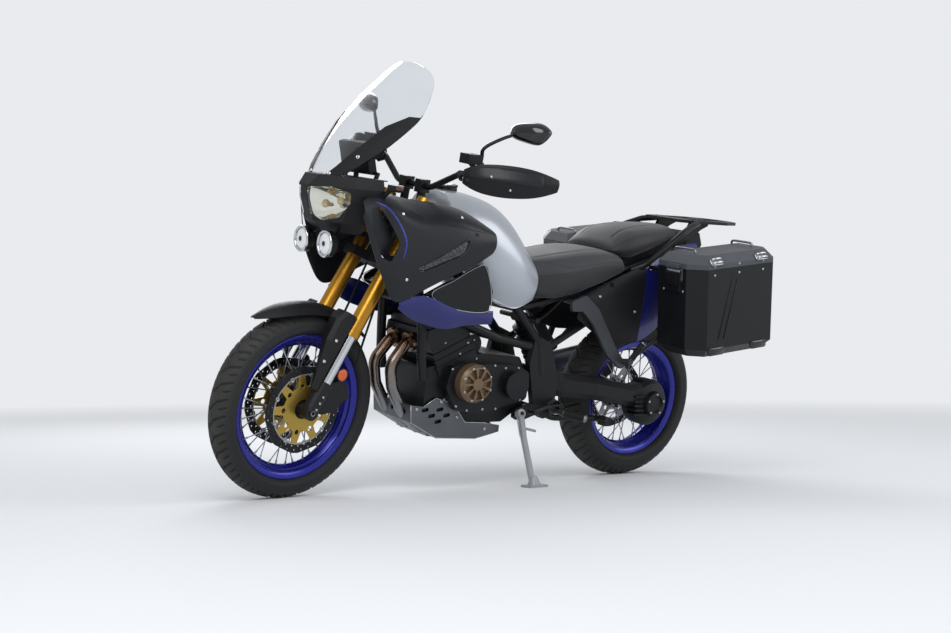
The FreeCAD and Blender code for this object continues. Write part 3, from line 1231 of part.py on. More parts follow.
def pannier_lid():
    """The lid: a hollow cap with sloped sides, its catch in front and two knuckles behind."""
    wall = PANNIER_WALL
    outer = loft([pannier_outline(LID_GAP, 0), pannier_outline(20, 0), pannier_outline(LID_HEIGHT, LID_INSET)])
    inner = loft([pannier_outline(LID_GAP - 1, wall), pannier_outline(20, wall),
                  pannier_outline(LID_HEIGHT - wall, LID_INSET + wall)])
    middle = PANNIER_INNER_Y + PANNIER_WIDTH / 2 - 22
    catch = box((-1, 13), (middle - 36, middle + 36), (LID_GAP + 1, 16))
    pieces = [outer.cut(inner), catch]
    bores = []
    for first, last in ((middle - 58, middle - 21), (middle + 21, middle + 58)):
        pieces.append(pannier_hinge(first, last, PANNIER_HINGE_RADIUS))
        pieces.append(box((-PANNIER_LENGTH - PANNIER_HINGE_RADIUS - 1, -PANNIER_LENGTH + 1), (first, last), (3, 9)))
        bores.append(pannier_hinge(first - 1, last + 1, PANNIER_PIN_RADIUS + RUNNING_GAP))
    return place_pannier(fuse(*pieces).cut(bores))


def pannier_carriers(subframe_shape, hangers, tub):
    """Tube frames that hold the panniers, with pads against the tub."""
    y = CARRIER_Y
    loop = [(-650, y, 858), (-1010, y, 906), (-984, y, 668), (-716, y, 622), (-650, y, 858)]
    bars = [rod(a, b, CARRIER_RADIUS) for a, b in zip(loop, loop[1:])]
    corners = [Part.makeSphere(CARRIER_RADIUS, point(p)) for p in loop[:-1]]
    strut = rod((-830, y, 882), (-846, y, 644), CARRIER_RADIUS)
    arms = [rod(start, end, CARRIER_RADIUS) for start, end in CARRIER_ARMS]
    arms.append(rod((-716, y, 622), (-560, 212, 492), CARRIER_RADIUS))
    pads = [rod((x, y, z), (x, PANNIER_INNER_Y, z), 14) for x, z in ((-700, 860), (-960, 896), (-760, 634))]
    return clear(both_sides(fuse(*bars, *corners, strut, *arms, *pads)), subframe_shape, hangers, tub, mirrored(tub))


# Stands

SIDE_STAND_PIVOT = V(-110, 162, 300)
SIDE_STAND_FOOT = V(-125, 262, 50)
SIDE_STAND_AXIS = V(0.0376, 0.892, 0.353)
CENTRE_STAND_PIVOT = V(-236, 0, 300)
CENTRE_STAND_LEG = [(-236, 94, 300), (-322, 94, 264), (-545, 138, 262)]


def side_stand_axis():
    axis = V(SIDE_STAND_AXIS)
    axis.normalize()
    return axis


def side_stand_bracket():
    """The bracket, boss and pin that carry the side stand."""
    axis = side_stand_axis()
    boss = rod(SIDE_STAND_PIVOT - axis * 30, SIDE_STAND_PIVOT - axis * 11.5, 18)
    pin = rod(SIDE_STAND_PIVOT - axis * 20, SIDE_STAND_PIVOT + axis * 17, 6)
    arm = plate([(-96, 278), (-94, 308), (-150, 330), (-214, 336), (-224, 296), (-150, 272)], 126, 140, 6)
    return boss, pin, arm


def side_stand():
    """The stand, down: eye, bent leg, and a foot that is flat on the floor."""
    axis = side_stand_axis()
    pivot, foot = SIDE_STAND_PIVOT, SIDE_STAND_FOOT
    eye = rod(pivot - axis * 11, pivot + axis * 11, 17)
    knee = pivot + (foot - pivot) * 0.34 + V(0, -6, 0)
    leg = bent_tube([pivot + V(0, 6, -6), knee, foot + V(0, 4, -10)], STAND_TUBE_RADIUS, 120)
    sole = unpark(box((-172, -88), (240, 296), (0, 9)))
    brace = unpark(Part.makeCone(26, 12, 34, V(-127, 268, 6)))
    tang = rod(pivot + V(-6, 18, -50), pivot + V(-48, 42, -58), 5)
    bore = rod(pivot - axis * 12, pivot + axis * 12, 6 + RUNNING_GAP)
    return fuse(eye, leg, sole, brace, tang).cut([bore, unpark(box((-400, 200), (100, 500), (-100, 0)))])


def centre_stand():
    """The main stand, folded back under the swingarm."""
    parts = []
    for s in (-1, 1):
        eye = bar_along_y(CENTRE_STAND_PIVOT.x, CENTRE_STAND_PIVOT.z, s * 82, s * 106, 24)
        route = [V(x, s * y, z) for x, y, z in CENTRE_STAND_LEG]
        leg = bent_tube([route[0] + V(-10, 0, -6), route[1], route[2]], STAND_TUBE_RADIUS, 80)
        foot = box((-566, -536), (s * 140 - 22, s * 140 + 22), (236, 268))
        parts += [eye, leg, foot]
    cross = rod((-312, -94, 268), (-312, 94, 268), 9)
    tread = rod((-500, 134, 262), (-520, 186, 268), 7)
    shaft = bar_along_y(CENTRE_STAND_PIVOT.x, CENTRE_STAND_PIVOT.z, -130, 130, 14 + RUNNING_GAP)
    return fuse(*parts, cross, tread).cut(shaft)


# Parked pose

def leaned(shape):
    shape.rotate(V(0, 0, 0), V(1, 0, 0), -LEAN)
    return shape


def steered(shape):
    shape.rotate(STEER_POINT, STEER_UP, STEER_AT_REST)
    return shape


def lowest_of_tyre(centre, direction, radius, crown):
    """Height of a leaning tyre's contact point, from its axle's centre and direction."""
    return centre.z - (radius - crown) * math.sqrt(1 - direction.z ** 2) - crown


def resting():
    """The pitch in degrees and the lift that set both leaning tyres on the floor."""
    heights = []
    for centre, radius, crown, turns in ((REAR_AXLE, REAR_TYRE_RADIUS, REAR_CROWN_RADIUS, False),
                                         (FRONT_AXLE, FRONT_TYRE_RADIUS, FRONT_CROWN_RADIUS, True)):
        ends = [Part.Vertex(centre), Part.Vertex(centre + Y_AXIS)]
        if turns:
            ends = [steered(end) for end in ends]
        middle, beside = [leaned(end).Point for end in ends]
        heights.append((middle.x, lowest_of_tyre(middle, beside - middle, radius, crown)))
    (rear_x, rear_low), (front_x, front_low) = heights
    pitch = math.atan2(front_low - rear_low, front_x - rear_x)
    lift = -(rear_low * math.cos(pitch) - rear_x * math.sin(pitch))
    return math.degrees(pitch), lift


def parked_placement():
    pitch, lift = resting()
    lean = FreeCAD.Placement(V(0, 0, 0), FreeCAD.Rotation(V(1, 0, 0), -LEAN))
    tip = FreeCAD.Placement(V(0, 0, 0), FreeCAD.Rotation(Y_AXIS, pitch))
    move = FreeCAD.Placement(V(-ORIGIN_X, -ORIGIN_Y, lift), FreeCAD.Rotation())
    return move.multiply(tip).multiply(lean)


def unpark(shape):
    """From the parked pose back to the upright machine."""
    shape.Placement = parked_placement().inverse().multiply(
        FreeCAD.Placement(V(-ORIGIN_X, -ORIGIN_Y, 0), FreeCAD.Rotation())).multiply(shape.Placement)
    return shape


def park(shape, turns):
    shape = shape.copy()
    if turns:
        steered(shape)
    shape.Placement = parked_placement().multiply(shape.Placement)
    return shape


def steering_nodes():
    axle = front_axle()
    lugs = fork_lugs()
    calipers = front_calipers(lugs)
    tubes = fork_outer_tubes()
    bar = handlebar()
    clamps = fuse(triple_clamps(), *bar_risers(bar))
    grips = hand_grips()
    controls = clear(hand_controls(bar), grips)
    guards = clear(hand_guards(bar, grips), controls)
    return {
        "front_wheel": spoked_wheel(FRONT_AXLE, FRONT_BEAD_RADIUS, FRONT_RIM_HALF_WIDTH, FRONT_HUB_HALF_LENGTH),
        "front_tyre": tyre(FRONT_AXLE, FRONT_TYRE_RADIUS, FRONT_TYRE_HALF_WIDTH, FRONT_CROWN_RADIUS,
                           FRONT_BEAD_RADIUS, FRONT_RIM_HALF_WIDTH),
        "front_brake_discs": front_discs(),
        "front_axle": axle,
        "fork_lugs": lugs,
        "front_calipers": calipers,
        "fork_stanchions": fork_stanchions(),
        "fork_outer_tubes": tubes,
        "triple_clamps": clamps,
        "front_fender": front_fender(lugs),
        "handlebar": bar,
        "hand_grips": grips,
        "hand_controls": controls,
        "hand_guards": guards,
        "mirrors": mirrors(bar, controls, guards),
        "brake_hoses": brake_hoses(clamps, calipers, lugs),
    }


def chassis_nodes():
    frame_shape = frame()
    stay = front_stay(frame_shape)
    rear_frame = subframe(frame_shape)
    engine_shape = clear(engine(), frame_shape)
    headers = exhaust_headers(engine_shape)
    exhaust = fuse(headers, clear(link_pipe(), engine_shape, headers, frame_shape))
    arm = swingarm(frame_shape)
    drive = final_drive(arm)
    tank = fuel_tank(frame_shape)
    shroud = clear(left_shroud(), tank, frame_shape)
    lower = clear(lower_panels(), shroud, mirrored(shroud), tank)
    covers = clear(radiator_covers(), shroud, mirrored(shroud), lower, tank, frame_shape)
    cowl = nose_cowl(stay)
    screen = windscreen()
    lamps = headlamps(stay)
    pans = clear(seat_pans(rear_frame, frame_shape), tank)
    rider = clear(hull(RIDER_SEAT_SECTIONS), tank, rear_frame, frame_shape, pans)
    pillion = clear(hull(PILLION_SECTIONS), rider, rear_frame, pans)
    rack = clear(rear_rack(rear_frame, pans), rider, pillion)
    hangers, pegs = peg_hangers(rear_frame, frame_shape)
    tub = pannier_body()
    can = clear(muffler(exhaust), arm)
    gauges = instruments(stay)
    carriers = largest(clear(pannier_carriers(rear_frame, hangers, tub), pans, rack, can, arm), 2)
    tail = clear(tail_covers(), rear_frame, rider, pans, rack, hangers)
    accents = clear(tail_accents(), rear_frame, rider, pillion, pans, rack, tail)
    return {
        "rear_wheel": spoked_wheel(REAR_AXLE, REAR_BEAD_RADIUS, REAR_RIM_HALF_WIDTH, REAR_HUB_HALF_LENGTH),
        "rear_tyre": tyre(REAR_AXLE, REAR_TYRE_RADIUS, REAR_TYRE_HALF_WIDTH, REAR_CROWN_RADIUS,
                          REAR_BEAD_RADIUS, REAR_RIM_HALF_WIDTH),
        "rear_brake_disc": rear_disc(),
        "frame": frame_shape,
        "front_stay": stay,
        "subframe": rear_frame,
        "engine": engine_shape,
        "generator_cover": clear(generator_cover(), engine_shape),
        "exhaust_pipes": exhaust,
        "muffler": can,
        "skid_plate": largest(clear(skid_plate(), engine_shape, exhaust)),
        "swingarm": arm,
        "final_drive": fuse(drive, clear(rear_axle(), arm)),
        "rear_caliper": rear_caliper(arm),
        "rear_shock": rear_shock(frame_shape, arm),
        "fuel_tank": clear(tank, engine_shape),
        "left_shroud": shroud,
        "right_shroud": mirrored(shroud),
        "lower_panels": lower,
        "radiator_covers": clear(covers, engine_shape),
        "nose_cowl": clear(cowl, screen, gauges, shroud, mirrored(shroud)),
        "headlamps": lamps,
        "windscreen": screen,
        "screen_panels": largest(clear(screen_panels(), screen, cowl), 2),
        "instruments": gauges,
        "fog_lamps": fog_lamps(cowl, stay),
        "front_indicators": largest(clear(front_indicators(shroud), cowl, mirrored(shroud)), 2),
        "rider_seat": rider,
        "pillion_seat": pillion,
        "seat_pans": pans,
        "rear_rack": rack,
        "tail_covers": tail,
        "tail_accents": accents,
        "rear_fender": clear(rear_fender(rear_frame, pans), accents, rack),
        "footpegs": Part.makeCompound([clear(hangers, frame_shape), pegs]),
        "foot_controls": foot_controls(pegs, frame_shape),
        "left_pannier": tub,
        "right_pannier": mirrored(tub),
        "left_lid": pannier_lid(),
        "right_lid": mirrored(pannier_lid()),
        "pannier_carriers": carriers,
        "side_stand": side_stand(),
        "centre_stand": centre_stand(),
    }


def main():
    os.makedirs("parts", exist_ok=True)
    for nodes, turns in ((steering_nodes(), True), (chassis_nodes(), False)):
        for name, shape in nodes.items():
            park(shape, turns).exportStep("parts/%s.step" % name)


if __name__ == "__main__":
    main()
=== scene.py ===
# %% [markdown]
# # An adventure motorcycle, dressed for its portrait
# The machine arrives as a set of plain solids that already have the right size and place. This notebook
# gives every surface its finish, and makes the parts whose look depends on smooth curves again as fine
# meshes: tyres, rims, spokes, tank, seats, mirrors, muffler and lamps. All new shapes are worked out as
# whole arrays of points, so a shape is a formula that can be read and changed in one place.

# %% Load the frame
import math

import bpy
import numpy as np
from mathutils import Matrix, Vector


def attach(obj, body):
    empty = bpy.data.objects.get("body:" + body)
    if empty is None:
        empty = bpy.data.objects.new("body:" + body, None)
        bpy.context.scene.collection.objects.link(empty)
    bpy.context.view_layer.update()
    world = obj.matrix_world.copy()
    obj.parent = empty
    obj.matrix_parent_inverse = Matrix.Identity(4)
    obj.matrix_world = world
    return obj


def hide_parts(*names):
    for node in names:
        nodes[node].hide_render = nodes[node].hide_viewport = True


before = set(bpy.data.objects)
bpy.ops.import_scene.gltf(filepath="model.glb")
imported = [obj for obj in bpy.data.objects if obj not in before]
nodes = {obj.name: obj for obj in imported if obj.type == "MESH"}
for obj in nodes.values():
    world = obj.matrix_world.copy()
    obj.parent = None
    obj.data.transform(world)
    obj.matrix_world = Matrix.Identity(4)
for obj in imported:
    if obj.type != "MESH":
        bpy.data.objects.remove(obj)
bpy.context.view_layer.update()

# %% [markdown]
# ## From the drawing to the parked machine
# Sizes on a motorcycle are easiest to read on the upright machine with its bars straight: X forward, Y to
# the rider's left, Z up, in millimetres from the ground half way between the axles. The real one is
# photographed leaning on its side stand with the bars turned a little. One matrix carries a drawing point
# to the parked machine, and a second one first turns it about the steering axis.

# %% Parked pose
WHEELBASE = 1540.0
FRONT_AXLE = np.array([WHEELBASE / 2, 0.0, 329.0])
REAR_AXLE = np.array([-WHEELBASE / 2, 0.0, 321.0])
# The side stand holds the machine at this lean, and a small pitch lets both tyres touch the floor.
LEAN, PITCH, STEER = math.radians(10.0), math.radians(0.10609), math.radians(8.7)
# The drawing's zero is shifted so that the leaning machine stands on the floor, over its middle.
LIFT = -0.17997
ORIGIN = (-61.7, 170.5)
# The steering axis meets the ground here and leans back by the rake.
STEER_POINT = Vector((896.0, 0.0, 0.0))
RAKE = math.radians(28.0)
STEER_UP = Vector((-math.sin(RAKE), 0.0, math.cos(RAKE)))
STEER_FORWARD = Vector((math.cos(RAKE), 0.0, math.sin(RAKE)))

parked = (Matrix.Scale(0.001, 4) @ Matrix.Translation((-ORIGIN[0], -ORIGIN[1], LIFT))
          @ Matrix.Rotation(PITCH, 4, "Y") @ Matrix.Rotation(-LEAN, 4, "X"))
steered = (parked @ Matrix.Translation(STEER_POINT) @ Matrix.Rotation(STEER, 4, STEER_UP)
           @ Matrix.Translation(-STEER_POINT))
POSES = {"steering": np.array(steered), "front_wheel": np.array(steered)}
CHASSIS_POSE = np.array(parked)


def placed(points, body):
    """Drawing points in millimetres, carried to the parked machine in metres: one matrix times all rows. With
    no body named, the points come back as they are."""
    points = np.asarray(points, float)
    if body is None:
        return points
    pose = POSES.get(body, CHASSIS_POSE)
    return points @ pose[:3, :3].T + pose[:3, 3]


def leg(distance, y=0.0, forward=0.0):
    """A point a distance up the fork leg from the front axle, moved sideways and forward of it."""
    point = Vector(FRONT_AXLE) + STEER_UP * distance + STEER_FORWARD * forward
    return np.array(point + Vector((0.0, y, 0.0)))


print("front axle at", placed([FRONT_AXLE], "steering").round(4))

# %% [markdown]
# ## Meshes from arrays
# A skin is a grid of points, one row per step along the piece and one column per step across it. The
# faces are the same index pattern moved along, so they come from one array sum. Closed directions wrap
# round, and an open tube is closed by one polygon at each end.

# %% Mesh helpers
def make_object(name, vertices, faces, body, smooth=True, node=None):
    """One mesh object from vertex and face arrays, riding on a body and standing for a node if one is
    named."""
    mesh = bpy.data.meshes.new(name)
    mesh.from_pydata(np.asarray(vertices, float).tolist(), [], faces)
    mesh.validate()
    mesh.update()
    if smooth:
        mesh.polygons.foreach_set("use_smooth", np.ones(len(mesh.polygons), bool))
    thing = bpy.data.objects.new(name, mesh)
    bpy.context.collection.objects.link(thing)
    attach(thing, body)
    if node:
        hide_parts(node)
    return thing


def grid_faces(rows, columns, wrap_rows=False, wrap_columns=False, first=0):
    """Quads of a grid: each joins a point to the next along both ways."""
    i = np.arange(rows if wrap_rows else rows - 1)[:, None]
    j = np.arange(columns if wrap_columns else columns - 1)[None, :]
    below, beside = (i + 1) % rows, (j + 1) % columns
    corners = [i * columns + j, i * columns + beside, below * columns + beside, below * columns + j]
    corners = [np.broadcast_to(corner, (i.shape[0], j.shape[1])) for corner in corners]
    return np.stack(corners, -1).reshape(-1, 4) + first


def skin(points, wrap_rows=False, wrap_columns=False):
    """Vertices and faces of a grid of points with shape (rows, columns, 3)."""
    rows, columns = points.shape[:2]
    return points.reshape(-1, 3), [list(f) for f in grid_faces(rows, columns, wrap_rows, wrap_columns)]


def capped(points):
    """A tube whose columns wrap round, with a flat cap of one polygon on each end row."""
    vertices, faces = skin(points, wrap_columns=True)
    rows, columns = points.shape[:2]
    faces = faces + [list(range(columns))[::-1], list(range((rows - 1) * columns, rows * columns))]
    return vertices, faces


def outward(vertices, faces):
    """The same closed piece with its faces turned outwards: the volume, summed over each face's fan of
    triangles, has to be positive."""
    vertices, volume = np.asarray(vertices, float), 0.0
    middle = vertices.mean(0)
    for size in {len(f) for f in faces}:
        corners = vertices[np.array([f for f in faces if len(f) == size])] - middle
        for k in range(1, size - 1):
            volume += np.einsum("ij,ij->i", corners[:, 0], np.cross(corners[:, k], corners[:, k + 1])).sum()
    return vertices, faces if volume > 0 else [list(f)[::-1] for f in faces]


def joined(pieces):
    """Several (vertices, faces) pairs as one pair, each face moved on by the points before it."""
    vertices, faces, first = [], [], 0
    for points, polygons in pieces:
        points, polygons = outward(points, polygons)
        vertices.append(np.asarray(points, float))
        faces += [[int(k) + first for k in polygon] for polygon in polygons]
        first += len(points)
    return np.concatenate(vertices), faces


# %% [markdown]
# Most parts of a motorcycle are bent tubes or turned pieces. Both are grids again: a circle is carried
# along a line, or a profile is carried round an axis. A bend is led by a few points, with a smooth cubic
# between them.

# %% Lines, tubes and turned pieces
def circle_angles(count):
    """Evenly spaced angles round a circle, with the first one not repeated."""
    return np.linspace(0, 2 * math.pi, count, endpoint=False)


def flowing(points, count, closed=False):
    """A smooth line through the points: a cubic between each two, whose slope at a point is that of its
    neighbours' chord, sampled at equal shares of the line's parameter."""
    points = np.asarray(points, float)
    n = len(points)
    if closed:
        at = np.linspace(0, n, count, endpoint=False)
        rows = [np.take(points, np.floor(at).astype(int) + k, axis=0, mode="wrap") for k in (-1, 0, 1, 2)]
    else:
        at = np.linspace(0, n - 1, count)
        padded = np.concatenate([[2 * points[0] - points[1]], points, [2 * points[-1] - points[-2]]])
        base = np.minimum(np.floor(at).astype(int), n - 2)
        rows = [padded[base + k] for k in range(4)]
        at = at - base
    t = (at - np.floor(at) if closed else at).reshape(-1, *([1] * (points.ndim - 1)))
    a, b, c, d = rows
    slope, bend, twist = c - a, 2 * a - 5 * b + 4 * c - d, 3 * b - a - 3 * c + d
    return 0.5 * (2 * b + slope * t + bend * t ** 2 + twist * t ** 3)


def tube(path, radius, sides=12, body="chassis"):
    """A round tube: at each path point a circle in the plane across the path, its start direction carried on
    from the circle before so that the tube doesn't twist."""
    path = np.asarray(path, float)
    radius = np.broadcast_to(np.asarray(radius, float), (len(path),))
    along = np.gradient(path, axis=0)
    along /= np.linalg.norm(along, axis=1)[:, None]
    not_along = [0.3, 0.2, 1.0]
    side = np.cross(along[0], not_along)
    frames = []
    for direction in along:
        side = side - direction * side.dot(direction)
        side /= np.linalg.norm(side)
        frames.append((side, np.cross(direction, side)))
    a, b = np.array([f[0] for f in frames]), np.array([f[1] for f in frames])
    turn = circle_angles(sides)[None, :, None]
    circle = a[:, None] * np.cos(turn) + b[:, None] * np.sin(turn)
    vertices, faces = capped(path[:, None] + circle * radius[:, None, None])
    return placed(vertices, body), faces


def lathe(profile, centre, axis, body="chassis", steps=96, closed=False):
    """A profile of (distance along the axis, radius) points turned about an axis through the centre. A closed
    profile makes a ring, and an open one gets an end cap of one polygon at each end."""
    profile = np.asarray(profile, float)
    axis = np.asarray(axis, float) / np.linalg.norm(axis)
    not_along = [0.31, 0.11, 0.94]
    side = np.cross(axis, not_along)
    side /= np.linalg.norm(side)
    other = np.cross(axis, side)
    turn = circle_angles(steps)[:, None]
    ring = np.cos(turn) * side + np.sin(turn) * other
    points = np.asarray(centre, float) + profile[:, :1, None] * axis + profile[:, 1:, None] * ring
    vertices, faces = skin(points, True, True) if closed else capped(points)
    return placed(vertices, body), faces


print("a test line of 5 points:", flowing([[0, 0], [1, 0], [1, 1]], 5).round(2).tolist())

# %% [markdown]
# ## Camera, floor and light
# The photograph was taken from the left front, a little over hub height, with a short telephoto lens. The
# camera is set from those angles. The studio is a pale floor that fades into a pale surround. A broad
# soft lamp stands high on the camera's side, a weaker one fills in from the left rear, and a third draws
# a bright rim from behind. An even world light does the rest, so that colours come out as written.

# %% Camera
AZIMUTH, ELEVATION, ROLL = math.radians(143.12), math.radians(-1.18), math.radians(-0.28)
TARGET = Vector((0.011 - ORIGIN[0] / 1000, 0.1 - ORIGIN[1] / 1000, 0.628))
DISTANCE, FOCAL_PIXELS, PHOTO_WIDTH, SENSOR_MM = 5.561, 1498.5, 951, 36.0
back = Vector((math.sin(AZIMUTH) * math.cos(ELEVATION), -math.cos(AZIMUTH) * math.cos(ELEVATION),
               math.sin(ELEVATION)))
camera_data = bpy.data.cameras.new("photo_camera")
camera_data.sensor_width = SENSOR_MM
camera_data.lens = SENSOR_MM * FOCAL_PIXELS / PHOTO_WIDTH
camera = bpy.data.objects.new("photo_camera", camera_data)
bpy.context.collection.objects.link(camera)
camera.matrix_world = (Matrix.Translation(TARGET + back * DISTANCE)
                       @ back.to_track_quat("Z", "Y").to_matrix().to_4x4() @ Matrix.Rotation(ROLL, 4, "Z"))
bpy.context.scene.camera = camera
print("lens", round(camera_data.lens, 2), "mm")

# %% One function for nodes and one for colours
def colour(code):
    """An sRGB hex colour as linear red, green, blue and alpha: each channel through the sRGB curve."""
    channels = [int(code[i:i + 2], 16) / 255 for i in (1, 3, 5)]
    return [c / 12.92 if c <= 0.04045 else ((c + 0.055) / 1.055) ** 2.4 for c in channels] + [1.0]


def add(tree, kind, inputs=None, **settings):
    """Adds a node, sets its properties, and gives each named or numbered input its value or its link."""
    made = tree.nodes.new("ShaderNode" + kind)
    for key, value in settings.items():
        setattr(made, key, value)
    for key, value in (inputs or {}).items():
        if isinstance(value, bpy.types.NodeSocket):
            tree.links.new(value, made.inputs[key])
        else:
            made.inputs[key].default_value = value
    return made


# %% Floor and world
# The world has two sides: the one the camera sees is the pale surround itself, and the one that lights the
# machine is weaker, so that black pieces stay black.
SURROUND = "#e9ebee"
WORLD_LIGHT = 0.62
FLOOR_HALF, FADE_FROM, FADE_TO = 30, 3.0, 9.0
scene = bpy.context.scene
scene.view_settings.view_transform = "Standard"
world = bpy.data.worlds.new("studio")
scene.world = world
world.use_nodes = True
tree = world.node_tree
tree.nodes.clear()
rays = add(tree, "LightPath")
seen = add(tree, "Math", {0: rays.outputs["Is Camera Ray"], 1: rays.outputs["Is Transmission Ray"]},
           operation="MAXIMUM")
lamp_side = add(tree, "Background", {"Color": colour("#f3f5f8"), "Strength": WORLD_LIGHT})
shown_side = add(tree, "Background", {"Color": colour(SURROUND), "Strength": 1.0})
both = add(tree, "MixShader", {0: seen.outputs[0], 1: lamp_side.outputs[0], 2: shown_side.outputs[0]})
add(tree, "OutputWorld", {"Surface": both.outputs[0]})

floor_finish = bpy.data.materials.new("pale_studio_floor")
floor_finish.use_nodes = True
tree = floor_finish.node_tree
tree.nodes.clear()
where = add(tree, "TexCoord")
reach = add(tree, "VectorMath", {0: where.outputs["Object"]}, operation="LENGTH")
fade = add(tree, "MapRange", {"Value": reach.outputs["Value"], "From Min": FADE_FROM, "From Max": FADE_TO})
paper = add(tree, "BsdfPrincipled", {"Base Color": colour("#dcdee1"), "Roughness": 0.9,
                                     "Specular IOR Level": 0.1})
glow = add(tree, "Emission", {"Color": colour(SURROUND), "Strength": 1.0})
mixed = add(tree, "MixShader", {0: fade.outputs[0], 1: paper.outputs[0], 2: glow.outputs[0]})
add(tree, "OutputMaterial", {"Surface": mixed.outputs[0]})
corners = [(-FLOOR_HALF, -FLOOR_HALF, 0), (FLOOR_HALF, -FLOOR_HALF, 0), (FLOOR_HALF, FLOOR_HALF, 0),
           (-FLOOR_HALF, FLOOR_HALF, 0)]
floor_mesh = bpy.data.meshes.new("studio_floor")
floor_mesh.from_pydata(corners, [], [(0, 1, 2, 3)])
floor = bpy.data.objects.new("studio_floor", floor_mesh)
bpy.context.collection.objects.link(floor)
floor.data.materials.append(floor_finish)

# %% Lamps
# name, place, aimed at, size, watts
for name, place, aim, size, power in (
        ("key", (3.2, 3.6, 4.2), (0, 0, 0.6), 3.6, 190.0),
        ("fill", (-3.8, 3.6, 2.6), (0, 0, 0.6), 3.0, 70.0),
        ("rim", (-1.5, -4.2, 3.6), (0, 0, 0.7), 3.0, 120.0)):
    lamp = bpy.data.lights.new(name, "AREA")
    lamp.energy = power
    lamp.size = size
    holder = bpy.data.objects.new(name, lamp)
    # Seen through the clear screen, a lamp would be a white square, so it is hidden from such rays.
    holder.visible_transmission = False
    bpy.context.collection.objects.link(holder)
    direction = Vector(aim) - Vector(place)
    holder.matrix_world = Matrix.Translation(place) @ direction.to_track_quat("-Z", "Y").to_matrix().to_4x4()
print("lamps placed")

# %% [markdown]
# ## Finishes
# Each finish starts as a plain shader with the values of its material, then gets what the eye misses on a
# computer's surface: a slow cloud of slightly different colour and gloss, a fine grain that tilts the
# surface, and edges that catch light as if they had been broken with a file. The grain's size is a real
# one in millimetres, because Object coordinates are metres.

# %% The common surface
CLOUDS_PER_METRE = 9.0
GLOSS_SWING = 0.06
COAT_ROUGHNESS = 0.08
finishes = {}


def surface(name, base, roughness, metallic=0.0, cloud=0.06, grain_mm=0.0, grain=0.0, edge_mm=0.8, coat=0.0,
            sheen=0.0):
    """A finish: base colour with a cloud of light and dark, roughness with the same cloud, a bump from noise
    of the grain's size, and rounded edges."""
    finish = bpy.data.materials.new(name)
    finish.use_nodes = True
    tree = finish.node_tree
    tree.nodes.clear()
    where = add(tree, "TexCoord")
    slow = add(tree, "TexNoise", {"Vector": where.outputs["Object"], "Scale": CLOUDS_PER_METRE,
                                  "Detail": 4.0})
    tone = add(tree, "MapRange", {"Value": slow.outputs["Fac"], "From Min": 0.3, "From Max": 0.7,
                                  "To Min": 1.0 - cloud, "To Max": 1.0 + cloud})
    shade = add(tree, "Mix", {6: colour(base), 7: tone.outputs[0]}, data_type="RGBA", blend_type="MULTIPLY")
    shade.inputs[0].default_value = 1.0
    swing = min(cloud, GLOSS_SWING)
    gloss = add(tree, "MapRange", {"Value": slow.outputs["Fac"], "From Min": 0.3, "From Max": 0.7,
                                   "To Min": max(roughness - swing, 0.02), "To Max": roughness + swing})
    rounded = add(tree, "Bevel", {"Radius": edge_mm / 1000}, samples=4)
    normal = rounded.outputs[0]
    if grain:
        fine = add(tree, "TexNoise", {"Vector": where.outputs["Object"], "Scale": 1000.0 / grain_mm,
                                      "Detail": 2.0})
        bump = add(tree, "Bump", {"Height": fine.outputs["Fac"], "Strength": grain,
                                  "Distance": grain_mm / 4000, "Normal": normal})
        normal = bump.outputs[0]
    shader = add(tree, "BsdfPrincipled", {"Base Color": shade.outputs[2], "Roughness": gloss.outputs[0],
                                          "Normal": normal})
    shader.inputs["Metallic"].default_value = metallic
    shader.inputs["Coat Weight"].default_value = coat
    shader.inputs["Coat Roughness"].default_value = COAT_ROUGHNESS
    shader.inputs["Sheen Weight"].default_value = sheen
    add(tree, "OutputMaterial", {"Surface": shader.outputs[0]})
    finishes[name] = finish
    return tree, shader, shade, where


# %% Giving a piece its finish
def finish_of(thing, name):
    """Gives an object one finish in all its slots."""
    if not thing.data.materials:
        thing.data.materials.append(finishes[name])
    for slot in thing.material_slots:
        slot.material = finishes[name]
    return thing


def dressed(name, piece, finish, body="chassis", node=None):
    """One finished object from a piece: its vertices, in metres, and its faces."""
    return finish_of(make_object(name, *piece, body, node=node), finish)


def fitted(name, piece, finish, body="chassis", node=None):
    """The same from a piece in drawing points, which is placed on its body first."""
    return dressed(name, (placed(piece[0], body), piece[1]), finish, body, node)


